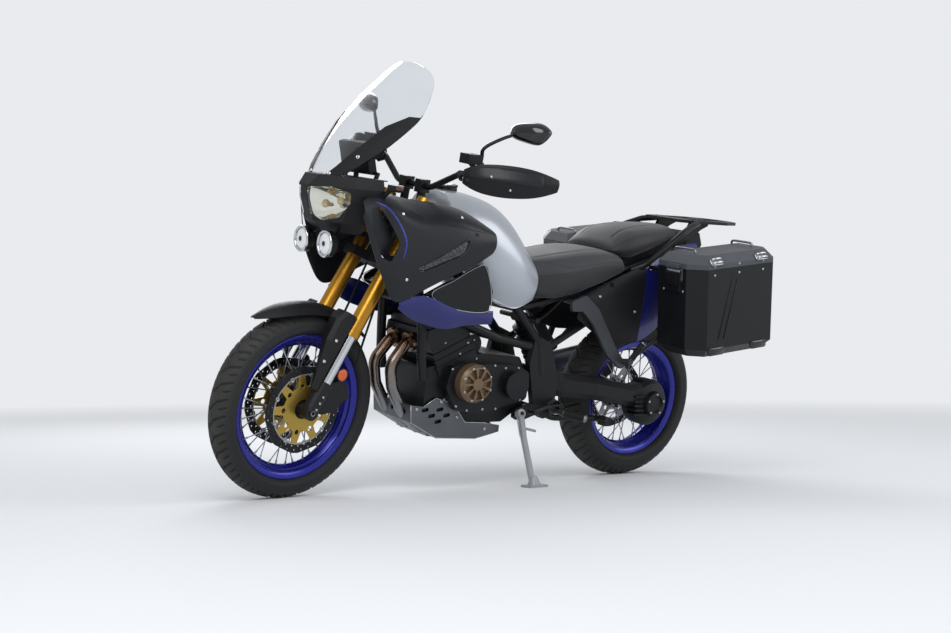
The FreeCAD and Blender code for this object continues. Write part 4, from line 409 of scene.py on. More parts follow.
# %% Finishes that need nothing more
# name, base, roughness, metallic, cloud, grain mm, grain, edge mm, coat
FINISHES = (
    # Powder melts into an even satin film. Cast metal keeps the mould's coarse skin, so its paint looks deep.
    ("satin_black_powder_coat", "#0e0f11", 0.42, 0.0, 0.10, 1.2, 0.12, 1.0, 0.0),
    ("black_cast_aluminium", "#121316", 0.46, 0.35, 0.16, 1.6, 0.35, 1.4, 0.0),
    # Plastics carry the fine grain of their mould, and the polished ones mirror the studio in soft patches.
    ("moulded_black_polypropylene", "#111215", 0.50, 0.0, 0.08, 0.9, 0.30, 1.2, 0.0),
    ("dark_grey_abs_panel", "#1a1c21", 0.36, 0.0, 0.06, 0.8, 0.10, 1.4, 0.0),
    ("gloss_black_abs", "#0b0c0e", 0.16, 0.0, 0.04, 0.0, 0.0, 1.2, 0.3),
    # Lacquer is a clear coat over metal flakes: a sharp highlight on a softer, deeper one.
    ("blue_metallic_lacquer", "#1e2788", 0.26, 0.25, 0.02, 0.5, 0.06, 1.2, 0.6),
    ("dark_blue_panel_lacquer", "#141a63", 0.30, 0.2, 0.02, 0.0, 0.0, 1.2, 0.4),
    ("silver_metallic_lacquer", "#aeb3bb", 0.30, 0.45, 0.01, 0.0, 0.0, 0.0, 0.5),
    # Plating is a thin bright skin: chrome mirrors, zinc is a little dull, and anodising tints the metal.
    ("hard_chrome", "#d3d6da", 0.10, 1.0, 0.03, 0.0, 0.0, 0.5, 0.0),
    ("zinc_plated_steel", "#a4a7ab", 0.30, 1.0, 0.10, 0.6, 0.08, 0.5, 0.0),
    ("gold_anodised_aluminium", "#b8862f", 0.30, 0.9, 0.05, 0.5, 0.06, 0.8, 0.0),
    # Blasting leaves a grey velvet of tiny pits. The skid plate's edges are drawn in brighter,
    # smoother aluminium.
    ("blasted_aluminium", "#63666a", 0.40, 0.85, 0.14, 0.8, 0.25, 1.0, 0.0),
    ("bright_aluminium_edge", "#b9bcc0", 0.28, 1.0, 0.10, 0.8, 0.10, 0.5, 0.0),
    ("grey_cast_hanger", "#3e4045", 0.40, 0.5, 0.10, 1.2, 0.25, 1.4, 0.0),
    ("black_engine_casting", "#1b1c1f", 0.38, 0.55, 0.20, 1.6, 0.40, 1.6, 0.0),
    # Glass and clear plastic over a dark or silvered back: one crisp reflection.
    ("mirror_glass", "#dfe3e8", 0.03, 1.0, 0.01, 0.0, 0.0, 0.5, 0.0),
    ("smoked_amber_lens", "#4c2309", 0.12, 0.0, 0.04, 0.0, 0.0, 0.6, 0.6),
    ("dark_display_glass", "#0a0c0f", 0.06, 0.0, 0.02, 0.0, 0.0, 0.5, 0.8),
    # Brush paint on steel, and the bronze coating of magnesium, which glows brown at its rim.
    ("grey_painted_steel", "#8e9195", 0.42, 0.1, 0.10, 1.0, 0.15, 1.0, 0.0),
    ("bronze_coated_magnesium", "#74604a", 0.38, 0.55, 0.10, 0.9, 0.20, 1.2, 0.0),
    # Rubber is matt and swallows light. The cases' plastic has a leather grain that breaks up the highlight.
    ("smooth_black_rubber", "#0e0f10", 0.62, 0.0, 0.06, 0.8, 0.12, 0.8, 0.0),
    ("grained_case_black", "#0c0e12", 0.42, 0.0, 0.06, 1.1, 0.40, 2.0, 0.0),
    ("grained_case_grey", "#45484e", 0.46, 0.0, 0.05, 1.1, 0.35, 2.4, 0.0),
    # Brushed stainless steel keeps a wide, silky highlight, and a red lens glows through its gloss.
    ("satin_stainless_steel", "#909296", 0.34, 1.0, 0.08, 0.7, 0.12, 0.8, 0.0),
    ("red_lamp_lens", "#a01318", 0.14, 0.0, 0.05, 0.0, 0.0, 0.8, 0.6),
)
for row in FINISHES:
    surface(*row)
DULL = ("satin_black_powder_coat", "moulded_black_polypropylene", "grained_case_black", "dark_grey_abs_panel",
        "smooth_black_rubber", "grained_case_grey")
DULL_SPECULAR = 0.3
for name in DULL:
    shader = finishes[name].node_tree.nodes["Principled BSDF"]
    shader.inputs["Specular IOR Level"].default_value = DULL_SPECULAR
print(len(finishes), "finishes")

# %% [markdown]
# ## Dress the pieces that keep their solid
# Cast, machined and bent parts are right as they came: they only get their finish. What follows replaces
# the others one by one.

# %% Finish of each kept node
KEPT = {
    "black_cast_aluminium": ("fork_lugs", "front_calipers", "rear_caliper", "triple_clamps", "swingarm",
                             "final_drive", "foot_controls"),
    "black_engine_casting": ("engine",),
    "grey_cast_hanger": ("footpegs",),
    "satin_black_powder_coat": ("handlebar", "frame", "front_stay", "subframe", "rear_shock", "rear_rack",
                                "pannier_carriers", "centre_stand"),
    "moulded_black_polypropylene": ("hand_controls", "seat_pans", "tail_covers", "rear_fender", "instruments",
                                    "front_fender", "hand_guards", "screen_panels", "front_indicators",
                                    "nose_cowl"),
    "dark_grey_abs_panel": ("left_shroud", "right_shroud"),
    "gloss_black_abs": ("mirrors",),
    "dark_blue_panel_lacquer": ("lower_panels", "tail_accents"),
    "silver_metallic_lacquer": ("fuel_tank",),
    "hard_chrome": ("fork_stanchions",),
    "zinc_plated_steel": ("front_axle",),
    "gold_anodised_aluminium": ("fork_outer_tubes",),
    "blasted_aluminium": ("skid_plate",),
    "grey_painted_steel": ("side_stand",),
    "bronze_coated_magnesium": ("generator_cover",),
    "smooth_black_rubber": ("hand_grips", "brake_hoses", "front_tyre", "rear_tyre", "rider_seat",
                            "pillion_seat"),
    "grained_case_black": ("left_pannier", "right_pannier", "radiator_covers"),
    "grained_case_grey": ("left_lid", "right_lid"),
    "satin_stainless_steel": ("muffler", "exhaust_pipes", "front_brake_discs", "rear_brake_disc",
                              "front_wheel", "rear_wheel", "headlamps", "fog_lamps", "windscreen"),
}
for finish, names in KEPT.items():
    for name in names:
        finish_of(nodes[name], finish)
print("without a finish:", sorted(set(nodes) - {n for names in KEPT.values() for n in names}))

# %% [markdown]
# ## Tyres
# A tyre is one ring-shaped surface: its cross section is a round crown that runs into the sidewalls and
# tucks under the rim. The tread is cut into it by moving points towards the axle wherever a groove
# passes: a zig-zag line runs round the middle, and from each of its corners a slanted groove runs out to
# the shoulder.

# %% How deep the tread is cut
TREAD_DEPTH = 7.0
TYRE_STEPS = 880
GROOVE_HALF = 4.0
ZIGZAG_SHARE, BRANCH_END, BRANCH_SLANT = 0.2, 0.86, 0.32
# offset in pitches, from and to which share of the way out, half width in millimetres
BRANCHES = ((0.0, -0.1, 1.0, 4.6), (0.5, 0.42, 1.0, 3.6))
# radius where the tyre's bead sits, and half the rim's width
FRONT_BEAD, FRONT_RIM_HALF = 241.3, 32
REAR_BEAD, REAR_RIM_HALF = 215.9, 51


def groove(distance, half_width):
    """1 in the groove's middle and 0 outside it, with a steep wall between."""
    return np.clip(1.6 * (1 - distance / half_width), 0, 1)


def tread(turn, y, radius, shoulder, pitches):
    """How far the surface is cut in at an angle and a place across: a zig-zag line with side branches."""
    u = turn / (2 * math.pi) * pitches
    pitch = 2 * math.pi * radius / pitches
    zigzag = 2 * np.abs(2 * (u - np.floor(u + 0.5))) - 1
    swing = ZIGZAG_SHARE * shoulder
    cut = groove(np.abs(y - swing * zigzag), GROOVE_HALF)
    for side in (1, -1):
        out = (side * y - swing) / (BRANCH_END * shoulder - swing)
        start = 0.5 if side > 0 else 0.0
        for offset, first, last, width in BRANCHES:
            along = u - start - offset - BRANCH_SLANT * out
            branch = groove(np.abs(along - np.round(along)) * pitch, width)
            cut = np.maximum(cut, branch * (out > first) * (out < last))
    return TREAD_DEPTH * cut


# %% The tyre's surface
def tyre_surface(name, axle, radius, half, crown, bead, rim_half, pitches, body, node):
    """Rows go round the wheel and columns across the section, from one bead over the crown to the other."""
    shoulder = half - 2
    across = np.linspace(-shoulder, shoulder, 53)
    top = np.stack([across, radius - crown + np.sqrt(crown ** 2 - across ** 2)], 1)
    end = top[-1]
    flank = flowing([end, (half, 0.58 * end[1] + 0.42 * bead), (half - 2.5, bead + 26),
                     (half - 9, bead + 19.5), (rim_half + 6.5, bead + 15)], 13)[1:]
    hidden = np.array([[rim_half - 1, bead + 14], [rim_half - 1, bead + 1]])
    left = np.concatenate([flank, hidden])
    section = np.concatenate([left[::-1] * [-1, 1], top, left])
    turn = circle_angles(TYRE_STEPS)[:, None]
    y = np.broadcast_to(section[:, 0], (TYRE_STEPS, len(section)))
    first = len(left)
    on_crown = np.zeros(len(section), bool)
    on_crown[first:first + len(top)] = True
    r = section[:, 1] - tread(turn, section[:, 0], radius, shoulder, pitches) * on_crown
    ribs = 0.5 * (np.abs(section[:, 1] - (bead + 31)) < 2.5) * ~on_crown
    y = y + np.sign(y) * ribs
    points = np.stack([axle[0] + r * np.cos(turn), y, axle[2] + r * np.sin(turn)], -1)
    vertices, faces = skin(points, True, True)
    return make_object(name, placed(vertices, body), [f[::-1] for f in faces], body, node=node)


# %% Both tyres
front_tyre = tyre_surface("front_tyre_tread", FRONT_AXLE, radius=329, half=55, crown=60, bead=FRONT_BEAD,
                          rim_half=FRONT_RIM_HALF, pitches=34, body="front_wheel", node="front_tyre")
rear_tyre = tyre_surface("rear_tyre_tread", REAR_AXLE, radius=321, half=75, crown=82, bead=REAR_BEAD,
                         rim_half=REAR_RIM_HALF, pitches=30, body="rear_wheel", node="rear_tyre")
print("tyre faces", len(front_tyre.data.polygons), len(rear_tyre.data.polygons))

# %% [markdown]
# Tyre rubber is matt, a little grey with dust where it meets the road, and blacker on the walls. The dust
# follows the distance from the axle, so it is mixed in by that radius.

# %% Rubber with road dust
def in_frame(tree, where, centre, body):
    """Coordinates of the drawing, in metres from a centre: the pose undone by a Mapping node."""
    pose = steered if body in ("steering", "front_wheel") else parked
    middle = placed([centre], body)[0]
    return add(tree, "Mapping", {"Vector": where.outputs["Object"], "Location": middle,
                                 "Rotation": pose.to_euler()}, vector_type="TEXTURE").outputs[0]


def wheel_radius(tree, where, centre, body):
    """Distance from the wheel's axle: the drawing's coordinates with Y left out, as a length."""
    from_axle = in_frame(tree, where, centre, body)
    flat = add(tree, "VectorMath", {0: from_axle, 1: (1, 0, 1)}, operation="MULTIPLY")
    return add(tree, "VectorMath", {0: flat.outputs[0]}, operation="LENGTH").outputs["Value"]


# name, axle, body, where the dust starts in metres from the axle, tyre
for name, centre, body, road, thing in (
        ("front_tyre_rubber", FRONT_AXLE, "front_wheel", 0.300, front_tyre),
        ("rear_tyre_rubber", REAR_AXLE, "rear_wheel", 0.290, rear_tyre)):
    tree, shader, shade, where = surface(name, "#111214", 0.7, 0, 0.12, 1.4, 0.25, 0.5)
    radius = wheel_radius(tree, where, centre, body)
    dusty = add(tree, "MapRange", {"Value": radius, "From Min": road - 0.01, "From Max": road + 0.03})
    blotches = add(tree, "TexNoise", {"Vector": where.outputs["Object"], "Scale": 26.0, "Detail": 5.0})
    share = add(tree, "Math", {0: dusty.outputs[0], 1: blotches.outputs["Fac"]}, operation="MULTIPLY")
    toned = add(tree, "Mix", {0: share.outputs[0], 6: shade.outputs[2], 7: colour("#34332f")},
                data_type="RGBA")
    tree.links.new(toned.outputs[2], shader.inputs["Base Color"])
    finish_of(thing, name)

# %% [markdown]
# ## Rims, spokes and hubs
# The rims are blue anodised aluminium, rolled to a profile with a flange, two shallow ridges and a middle
# rib that holds the nipples. Spokes run from the hub's two flanges to that rib and cross each other on
# the way, so that each pulls the hub round one way or the other. All of them are one mesh: a single rod's
# points are put into every spoke's own frame at once.

# %% Rods in one go
def many_rods(starts, ends, radii, sides=8):
    """One closed prism between each start and end: a ring of points at both ends of every rod."""
    starts, ends = np.asarray(starts, float), np.asarray(ends, float)
    radii = np.broadcast_to(np.asarray(radii, float), (len(starts),))
    along = ends - starts
    along /= np.linalg.norm(along, axis=1)[:, None]
    side = np.cross(along, np.where(np.abs(along[:, 2:]) > 0.9, [[1.0, 0, 0]], [[0, 0, 1.0]]))
    side /= np.linalg.norm(side, axis=1)[:, None]
    other = np.cross(along, side)
    turn = circle_angles(sides)[None, :, None]
    ring = (side[:, None] * np.cos(turn) + other[:, None] * np.sin(turn)) * radii[:, None, None]
    points = np.stack([starts[:, None] + ring, ends[:, None] + ring], 1)
    vertices = points.reshape(-1, 3)
    lids = [list(range(sides))[::-1], list(range(sides, 2 * sides))]
    one = grid_faces(2, sides, wrap_columns=True).tolist() + lids
    faces = [[k + 2 * sides * i for k in face] for i in range(len(starts)) for face in one]
    return vertices, faces


# %% One laced wheel
SPOKES, SPOKE_SLANT, NIPPLE_SHARE = 36, np.radians(24.0), 0.085
HUB_CIRCLE = 52
SPOKE_RADIUS, NIPPLE_RADIUS, HEAD_RADIUS = 2.1, 3.4, 3.6


def wheel(name, axle, bead, half, hub_half, body, node):
    """Rim, hub and spokes of one wheel, each its own object and finish; the nipples and spoke heads are part
    of the spokes' object.
    """
    edge = half + 6
    side = [(edge, bead + 14), (edge + 0.5, bead + 11), (edge - 1.5, bead + 5), (edge - 4, bead - 3),
            (edge - 7, bead - 8), (edge - 10, bead - 9.5), (edge - 11.5, bead - 7.5), (edge - 14, bead - 9),
            (0.5 * half, bead - 16), (0.42 * half, bead - 20), (6, bead - 21), (4.5, bead - 30)]
    outer = [(4, bead - 12), (0.42 * half, bead - 13), (0.55 * half, bead), (half, bead), (half, bead + 14)]
    whole = side + [(-y, r) for y, r in side[::-1]] + [(-y, r) for y, r in outer[::-1]] + outer
    ring = lathe(whole, axle, (0, 1, 0), body, 180, closed=True)
    rim = dressed(name + "_rim", ring, "blue_anodised_rim", body, node)
    flange = hub_half - 18
    right = [(hub_half, 10.3), (hub_half, 44), (hub_half - 3, 46), (hub_half - 8, 46), (hub_half - 11, 36),
             (flange + 5, 36), (flange + 4, 56), (flange + 2, 58), (flange - 1, 58), (flange - 3, 55),
             (flange - 6, 35), (flange - 14, 31)]
    whole = right + [(-y, r) for y, r in right[::-1]]
    dressed(name + "_hub", lathe(whole, axle, (0, 1, 0), body, 72, closed=True), "black_cast_aluminium", body)
    i = np.arange(SPOKES)
    sideways = np.where(i % 2 == 1, 1.0, -1.0)
    rim_turn = 2 * math.pi * i / SPOKES
    hub_turn = rim_turn + SPOKE_SLANT * np.where((i // 2) % 2 == 1, 1.0, -1.0)
    hub_end = np.stack([HUB_CIRCLE * np.cos(hub_turn), sideways * (flange + 1),
                        HUB_CIRCLE * np.sin(hub_turn)], 1) + axle
    reach = bead - 27
    rim_end = np.stack([reach * np.cos(rim_turn), sideways * 2.5, reach * np.sin(rim_turn)], 1) + axle
    ends = rim_end + (hub_end - rim_end) * NIPPLE_SHARE
    rods = many_rods(hub_end, rim_end, SPOKE_RADIUS)
    nipples = many_rods(ends, rim_end, NIPPLE_RADIUS)
    through = [[0, 5, 0]] * sideways[:, None]
    heads = many_rods(hub_end - through, hub_end + through, HEAD_RADIUS)
    vertices, faces = joined([rods, nipples, heads])
    spokes = make_object(name + "_spokes", placed(vertices, body), faces, body, smooth=False)
    finish_of(spokes, "zinc_plated_steel")


# %% Both wheels
# Anodised aluminium is dyed through its skin: the colour of the dye with the metal's own shine.
surface("blue_anodised_rim", "#1b1f8c", 0.27, 0.55, 0.06, 0.6, 0.06, 0.6, 0.35)
wheel("front_wheel", FRONT_AXLE, FRONT_BEAD, FRONT_RIM_HALF, hub_half=57, body="front_wheel",
      node="front_wheel")
wheel("rear_wheel", REAR_AXLE, REAR_BEAD, REAR_RIM_HALF, hub_half=60, body="rear_wheel",
      node="rear_wheel")
print("wheels laced")

# %% [markdown]
# ## Brake discs
# The solids already have the waved edge and the rows of holes. The front discs float: a dark coated steel
# ring is held to a gold carrier by round buttons, and the rear one sits on plain steel. The finish
# changes from one to the other by the distance from the axle.

# %% Disc finishes and buttons
# A bright machined line a few millimetres wide lies where the ring meets its carrier.
LINE_START, LINE_FADE, LINE_END = 0.0006, 0.0035, 0.004
# name, node, axle, body, the carrier's outer edge in metres from the axle, the carrier's colour
for name, node, axle, body, ring_at, inside in (
        ("front_disc_and_carrier", "front_brake_discs", FRONT_AXLE, "front_wheel", 0.1205, "#b89a4a"),
        ("rear_disc_and_carrier", "rear_brake_disc", REAR_AXLE, "rear_wheel", 0.1065, "#8f9194")):
    tree, shader, shade, where = surface(name, "#2c2d30", 0.34, 0.85, 0.08, 0.5, 0.15, 0.4)
    radius = wheel_radius(tree, where, axle, body)
    edge = add(tree, "MapRange", {"Value": radius, "From Min": ring_at, "From Max": ring_at + LINE_START})
    bright = add(tree, "MapRange", {"Value": radius, "From Min": ring_at + LINE_FADE,
                                    "From Max": ring_at + LINE_END})
    outer = add(tree, "Mix", {0: bright.outputs[0], 6: colour("#a5a7aa"), 7: shade.outputs[2]},
                data_type="RGBA")
    whole = add(tree, "Mix", {0: edge.outputs[0], 6: colour(inside), 7: outer.outputs[2]}, data_type="RGBA")
    tree.links.new(whole.outputs[2], shader.inputs["Base Color"])
    finish_of(nodes[node], name)

BUTTONS, BUTTON_CIRCLE = 9, 120
BUTTON = [(0, 0.1), (0, 8), (1.5, 9), (3, 8), (3.2, 5), (1.8, 4.4), (1.8, 0.1)]
buttons = []
for side in (1, -1):
    for angle in 2 * math.pi * (np.arange(BUTTONS) + 0.5) / BUTTONS:
        centre = FRONT_AXLE + [BUTTON_CIRCLE * math.cos(angle), side * 60.5, BUTTON_CIRCLE * math.sin(angle)]
        buttons.append(lathe(BUTTON, centre, (0, side, 0), "front_wheel", 20))
dressed("disc_buttons", joined(buttons), "zinc_plated_steel", "front_wheel")
print("disc buttons", len(buttons))

# %% [markdown]
# ## Body surfaces
# A moulded or pressed panel is drawn with a net of guide points: the surface starts and ends on the outer
# ones and passes near the others, as a sheet would that is pulled towards each of them. This is a
# quadratic B-spline surface. Its blend of the guide points is one matrix for each direction, so the whole
# grid is two products.

# %% Surfaces led by a net of points
def blend(poles, count):
    """The quadratic B-spline weights of each guide point at evenly spaced places, one row per place."""
    t = np.linspace(0, poles - 2, count)[:, None]
    t[-1] -= 1e-9
    knots = np.concatenate([[0, 0], np.arange(poles - 1), [poles - 2, poles - 2]]).astype(float)
    weights = ((t >= knots[:-1]) & (t < knots[1:])).astype(float)
    for degree in (1, 2):
        rise = knots[degree:-1] - knots[:-degree - 1]
        fall = knots[degree + 1:] - knots[1:-degree]
        up = np.where(rise > 0, (t - knots[:-degree - 1]) / np.where(rise > 0, rise, 1), 0)
        down = np.where(fall > 0, (knots[degree + 1:] - t) / np.where(fall > 0, fall, 1), 0)
        weights = up * weights[:, :-1] + down * weights[:, 1:]
    return weights


def led(rows, count_along, count_across):
    """A grid of points on the surface that the net of guide points leads."""
    rows = np.asarray(rows, float)
    along, across = blend(len(rows), count_along), blend(rows.shape[1], count_across)
    return np.einsum("am,mnk,bn->abk", along, rows, across)


def mirrored_rows(sections):
    """Half sections (x, then y and z from the top middle down the left side) made whole, right to left."""
    return [[(x, -y, z) for y, z in half[:0:-1]] + [(x, y, z) for y, z in half] for x, half in sections]


# %% Sheets with two sides
def wall(outer, inner):
    """Two grids of the same size as the two sides of a sheet, joined by a strip of quads round their
    border."""
    rows, columns = outer.shape[:2]
    count = rows * columns
    index = np.arange(count).reshape(rows, columns)
    loop = np.concatenate([index[0, :-1], index[:-1, -1], index[-1, :0:-1], index[:0:-1, 0]])
    after = np.roll(loop, -1)
    strip = np.stack([loop, after, after + count, loop + count], 1)[:, ::-1]
    sides = [grid_faces(rows, columns), grid_faces(rows, columns, first=count)[:, ::-1]]
    faces = np.concatenate(sides + [strip])
    return outward(np.concatenate([outer.reshape(-1, 3), inner.reshape(-1, 3)]), faces.tolist())


def normals_of(points):
    """The unit normal at each point of a grid, from the steps to its neighbours both ways."""
    normal = np.cross(np.gradient(points, axis=0), np.gradient(points, axis=1))
    return normal / np.maximum(np.linalg.norm(normal, axis=2), 1e-9)[..., None]


# %% [markdown]
# ## Seats
# Both seats are foam under a stretched vinyl cover. The rider's has a darker panel sewn to its lower
# side, with a seam that dips at the front, and the passenger's is crowned. The foam swells a little
# between the seams and the cover is drawn in along them, which a groove of a few millimetres gives. The
# grain of the vinyl is about a millimetre; it is drawn a little coarser so that it shows.

# %% Seat covers
# one leather cell between its creases is this many grains wide
CELL_PER_GRAIN = 2.2
for name, base, grain_mm in (("grey_grained_vinyl", "#26282c", 1.6), ("black_smooth_vinyl", "#101113", 1.0)):
    tree, shader, shade, where = surface(name, base, 0.55, 0, 0.06, grain_mm, 0.45, 1.2, 0, 0.15)
    cells = add(tree, "TexVoronoi", {"Vector": where.outputs["Object"],
                                     "Scale": 1000.0 / (CELL_PER_GRAIN * grain_mm)},
                feature="DISTANCE_TO_EDGE")
    crease = add(tree, "MapRange", {"Value": cells.outputs["Distance"], "From Min": 0.0, "From Max": 0.12})
    old = shader.inputs["Normal"].links[0].from_socket
    bump = add(tree, "Bump", {"Height": crease.outputs[0], "Strength": 0.5, "Distance": 0.0003,
                              "Normal": old})
    tree.links.new(bump.outputs[0], shader.inputs["Normal"])

# %% A cushion
# widths are shares of the cushion, depths are millimetres
SEAT_GRID = 121
SEAM_WIDTH, SEAM_DEPTH = 0.013, 3.0
EDGE_WIDTH, EDGE_DEPTH = 0.04, 4.0


def seat(name, sections, seams, low, crown, node):
    """A cushion over the section table: the led surface, swollen between seams and drawn in along them. A
    seam is (first and last share along, share down the side at both ends), and low is the share down the
    side below which the cover is the dark one."""
    top = led(mirrored_rows(sections), SEAT_GRID, SEAT_GRID)
    along = np.linspace(0, 1, SEAT_GRID)[:, None]
    down = np.abs(np.linspace(-1, 1, SEAT_GRID))[None, :]
    normal = normals_of(top)
    if normal[SEAT_GRID // 2, SEAT_GRID // 2, 2] < 0:
        normal = -normal
    swell = crown * np.sin(np.pi * along) ** 0.5 * np.clip(1 - down ** 2, 0, 1)
    draw = np.zeros_like(swell)
    for first, last, start, end in seams:
        line = start + (end - start) * (along - first) / (last - first)
        inside = (along >= first) & (along <= last)
        draw = np.maximum(draw, inside * np.exp(-((down - line) / SEAM_WIDTH) ** 2))
    edge = np.clip(np.minimum(along, 1 - along) / EDGE_WIDTH, 0, 1)
    top = top + normal * (swell - SEAM_DEPTH * draw - EDGE_DEPTH * (1 - edge) ** 2)[..., None]
    share = np.linspace(0, 1, SEAT_GRID)[None, :, None]
    bottom = top[:, :1] * (1 - share) + top[:, -1:] * share
    piece = fitted(name, wall(top, bottom), "grey_grained_vinyl", node=node)
    piece.data.materials.append(finishes["black_smooth_vinyl"])
    middle = (down[0, :-1] + down[0, 1:]) / 2
    dark = np.broadcast_to((middle > low)[None, :], (SEAT_GRID - 1, SEAT_GRID - 1)).ravel()
    index = np.zeros(len(piece.data.polygons), int)
    index[:len(dark)] = dark
    piece.data.polygons.foreach_set("material_index", index)
    return piece


# %% Both cushions
RIDER_SEAT_SECTIONS = [
    (-126, [(0, 872), (90, 868), (132, 846), (150, 780), (160, 742), (110, 728)]),
    (-200, [(0, 884), (110, 880), (156, 858), (178, 780), (172, 716), (112, 727)]),
    (-300, [(0, 900), (120, 896), (170, 874), (190, 800), (176, 742), (112, 751)]),
    (-400, [(0, 914), (130, 910), (178, 890), (196, 830), (182, 776), (112, 781)]),
    (-480, [(0, 920), (130, 914), (176, 894), (192, 850), (182, 812), (112, 811)]),
    (-540, [(0, 906), (120, 902), (160, 886), (178, 858), (170, 836), (112, 831)]),
]
PILLION_SECTIONS = [
    (-500, [(0, 938), (100, 932), (130, 922), (138, 912), (100, 910)]),
    (-560, [(0, 996), (104, 988), (150, 962), (168, 902), (130, 880)]),
    (-660, [(0, 1012), (104, 1004), (148, 984), (164, 934), (130, 912)]),
    (-760, [(0, 1020), (96, 1014), (136, 996), (150, 966), (120, 946)]),
    (-840, [(0, 1022), (80, 1018), (112, 1004), (126, 988), (100, 974)]),
]
rider_seat = seat("rider_seat_cushion", RIDER_SEAT_SECTIONS,
                  seams=[(0.0, 0.3, 0.34, 0.52), (0.3, 1.0, 0.52, 0.55), (0.06, 0.94, 0.2, 0.2)],
                  low=0.545, crown=5.0, node="rider_seat")
pillion_seat = seat("pillion_seat_cushion", PILLION_SECTIONS,
                    seams=[(0.05, 0.95, 0.5, 0.5), (0.1, 0.9, 0.26, 0.2)],
                    low=0.51, crown=6.0, node="pillion_seat")
print("seats", len(rider_seat.data.polygons), len(pillion_seat.data.polygons))

# %% [markdown]
# ## Clear screen
# The tall screen is polycarbonate: clear, faintly grey, with a hard coat that gives sharp reflections. It
# keeps its solid, which is a real sheet 4 mm thick, so light bends in and out of it as it should. Four
# chromed screws hold it.

# %% Polycarbonate, lamp glass and polished bowl
# Clear plastic lets the light through and keeps a thin reflection, which fine wear blurs in places.
HAZE = 0.05
for name, base, roughness, ior in (("clear_polycarbonate", "#e9edf1", 0.02, 1.40),
                                   ("lamp_glass", "#f4f7fa", 0.01, 1.45)):
    tree, shader, shade, where = surface(name, base, roughness, 0, 0.01, 0, 0, 0.3)
    shader.inputs["Transmission Weight"].default_value = 1.0
    shader.inputs["IOR"].default_value = ior
    wear = add(tree, "TexNoise", {"Vector": where.outputs["Object"], "Scale": 400.0, "Detail": 3.0})
    haze = add(tree, "MapRange", {"Value": wear.outputs["Fac"], "From Min": 0.45, "From Max": 0.75,
                                  "To Min": roughness, "To Max": roughness + HAZE})
    tree.links.new(haze.outputs[0], shader.inputs["Roughness"])
# A bowl of plated plastic mirrors the room in warm patches, and the bulb in it has an amber glass.
surface("polished_lamp_bowl", "#e9e4d2", 0.07, 1.0, 0.02, 0, 0, 0.4)
surface("warm_lamp_bulb", "#e8c77a", 0.12, 0.2, 0.05, 0, 0, 0.4, 0.6)
finish_of(nodes["windscreen"], "clear_polycarbonate")
print("screen is clear")

# %% [markdown]
# ## Headlamps
# Two lamps sit side by side behind clear lenses that continue the nose's surface. Inside each is a deep
# polished bowl round a warm bulb with a bright cap, and the bowl is what makes a lamp look like one from
# any side. The lens is a fan of rings from its middle to its outline, each point pushed out to the nose's
# surface.

# %% The nose's front surface
NOSE = np.array([(930, 712, 26, 684, 74), (966, 764, 28, 704, 118), (1040, 790, 30, 700, 158),
                 (1086, 792, 34, 700, 172), (1122, 764, 46, 684, 160)], float)
LAMP_OUTLINE = [(22, 1078), (22, 988), (58, 970), (112, 986), (154, 1036), (158, 1070), (104, 1084)]
LAMP_MIDDLE = np.array([88.0, 1030.0])


def nose_x(y, z):
    """How far forward the nose is: each level runs from its front corner back to its side corner."""
    front_x, front_y, side_x, side_y = (np.interp(z, NOSE[:, 0], NOSE[:, k]) for k in (1, 2, 3, 4))
    share = np.clip((np.abs(y) - front_y) / (side_y - front_y), 0, 1)
    return front_x + (side_x - front_x) * share


def lamp_rings(shares, depths, side):
    """Rings of the lamp's outline, shrunk to each share and moved forward of the nose's surface by each
    depth; a negative depth lies behind it."""
    outline = flowing(LAMP_OUTLINE, 72, closed=True) - LAMP_MIDDLE
    rows = []
    for share, depth in zip(shares, depths):
        flat = LAMP_MIDDLE + outline * share
        x = nose_x(flat[:, 0], flat[:, 1])
        rows.append(np.stack([x + depth, side * flat[:, 0], flat[:, 1]], 1))
    return np.stack(rows)


# %% Lenses, bowls and bulbs
LENS_SHARES = np.array([0.03, 0.2, 0.4, 0.6, 0.8, 0.94, 1.0])
LENS_BULGE, LENS_FACE, LENS_BACK = 3.5, -2, -5
BOWL_SHARES = np.array([0.99, 0.93, 0.84, 0.7, 0.52, 0.3, 0.16, 0.16, 0.36, 0.6, 0.8, 0.97, 0.99])
BOWL_DEPTHS = np.array([-8, -16, -26, -38, -50, -60, -64, -70, -68, -60, -48, -22, -10.0])
# place across and up, and size, of the main bulb and of the small one beside it
BULBS = ((104, 1040, 24), (54, 1024, 20))
for side, word in ((1, "left"), (-1, "right")):
    bulge = LENS_BULGE * (1 - LENS_SHARES ** 2)
    front = lamp_rings(LENS_SHARES, bulge + LENS_FACE, side)
    back = lamp_rings(LENS_SHARES[::-1], bulge[::-1] + LENS_BACK, side)
    thing = fitted(word + "_headlamp_lens", outward(*capped(np.concatenate([front, back]))), "lamp_glass",
                   node="headlamps" if side > 0 else None)
    bowl = outward(*skin(lamp_rings(BOWL_SHARES, BOWL_DEPTHS, side), True, True))
    fitted(word + "_headlamp_bowl", bowl, "polished_lamp_bowl")
    bulbs = []
    for y, z, size in BULBS:
        x = float(nose_x(np.array(y), np.array(z)))
        profile = [(-62, 0.1), (-62, 8), (-40, 8), (-38, 0.55 * size), (-32, 0.62 * size), (-26, 0.5 * size),
                   (-22, 0.26 * size), (-20.5, 0.1)]
        bulbs.append(lathe(profile, (x, side * y, z), (1, 0, 0), "chassis", 28))
    dressed(word + "_headlamp_bulbs", joined(bulbs), "warm_lamp_bulb")
print("headlamps fitted")
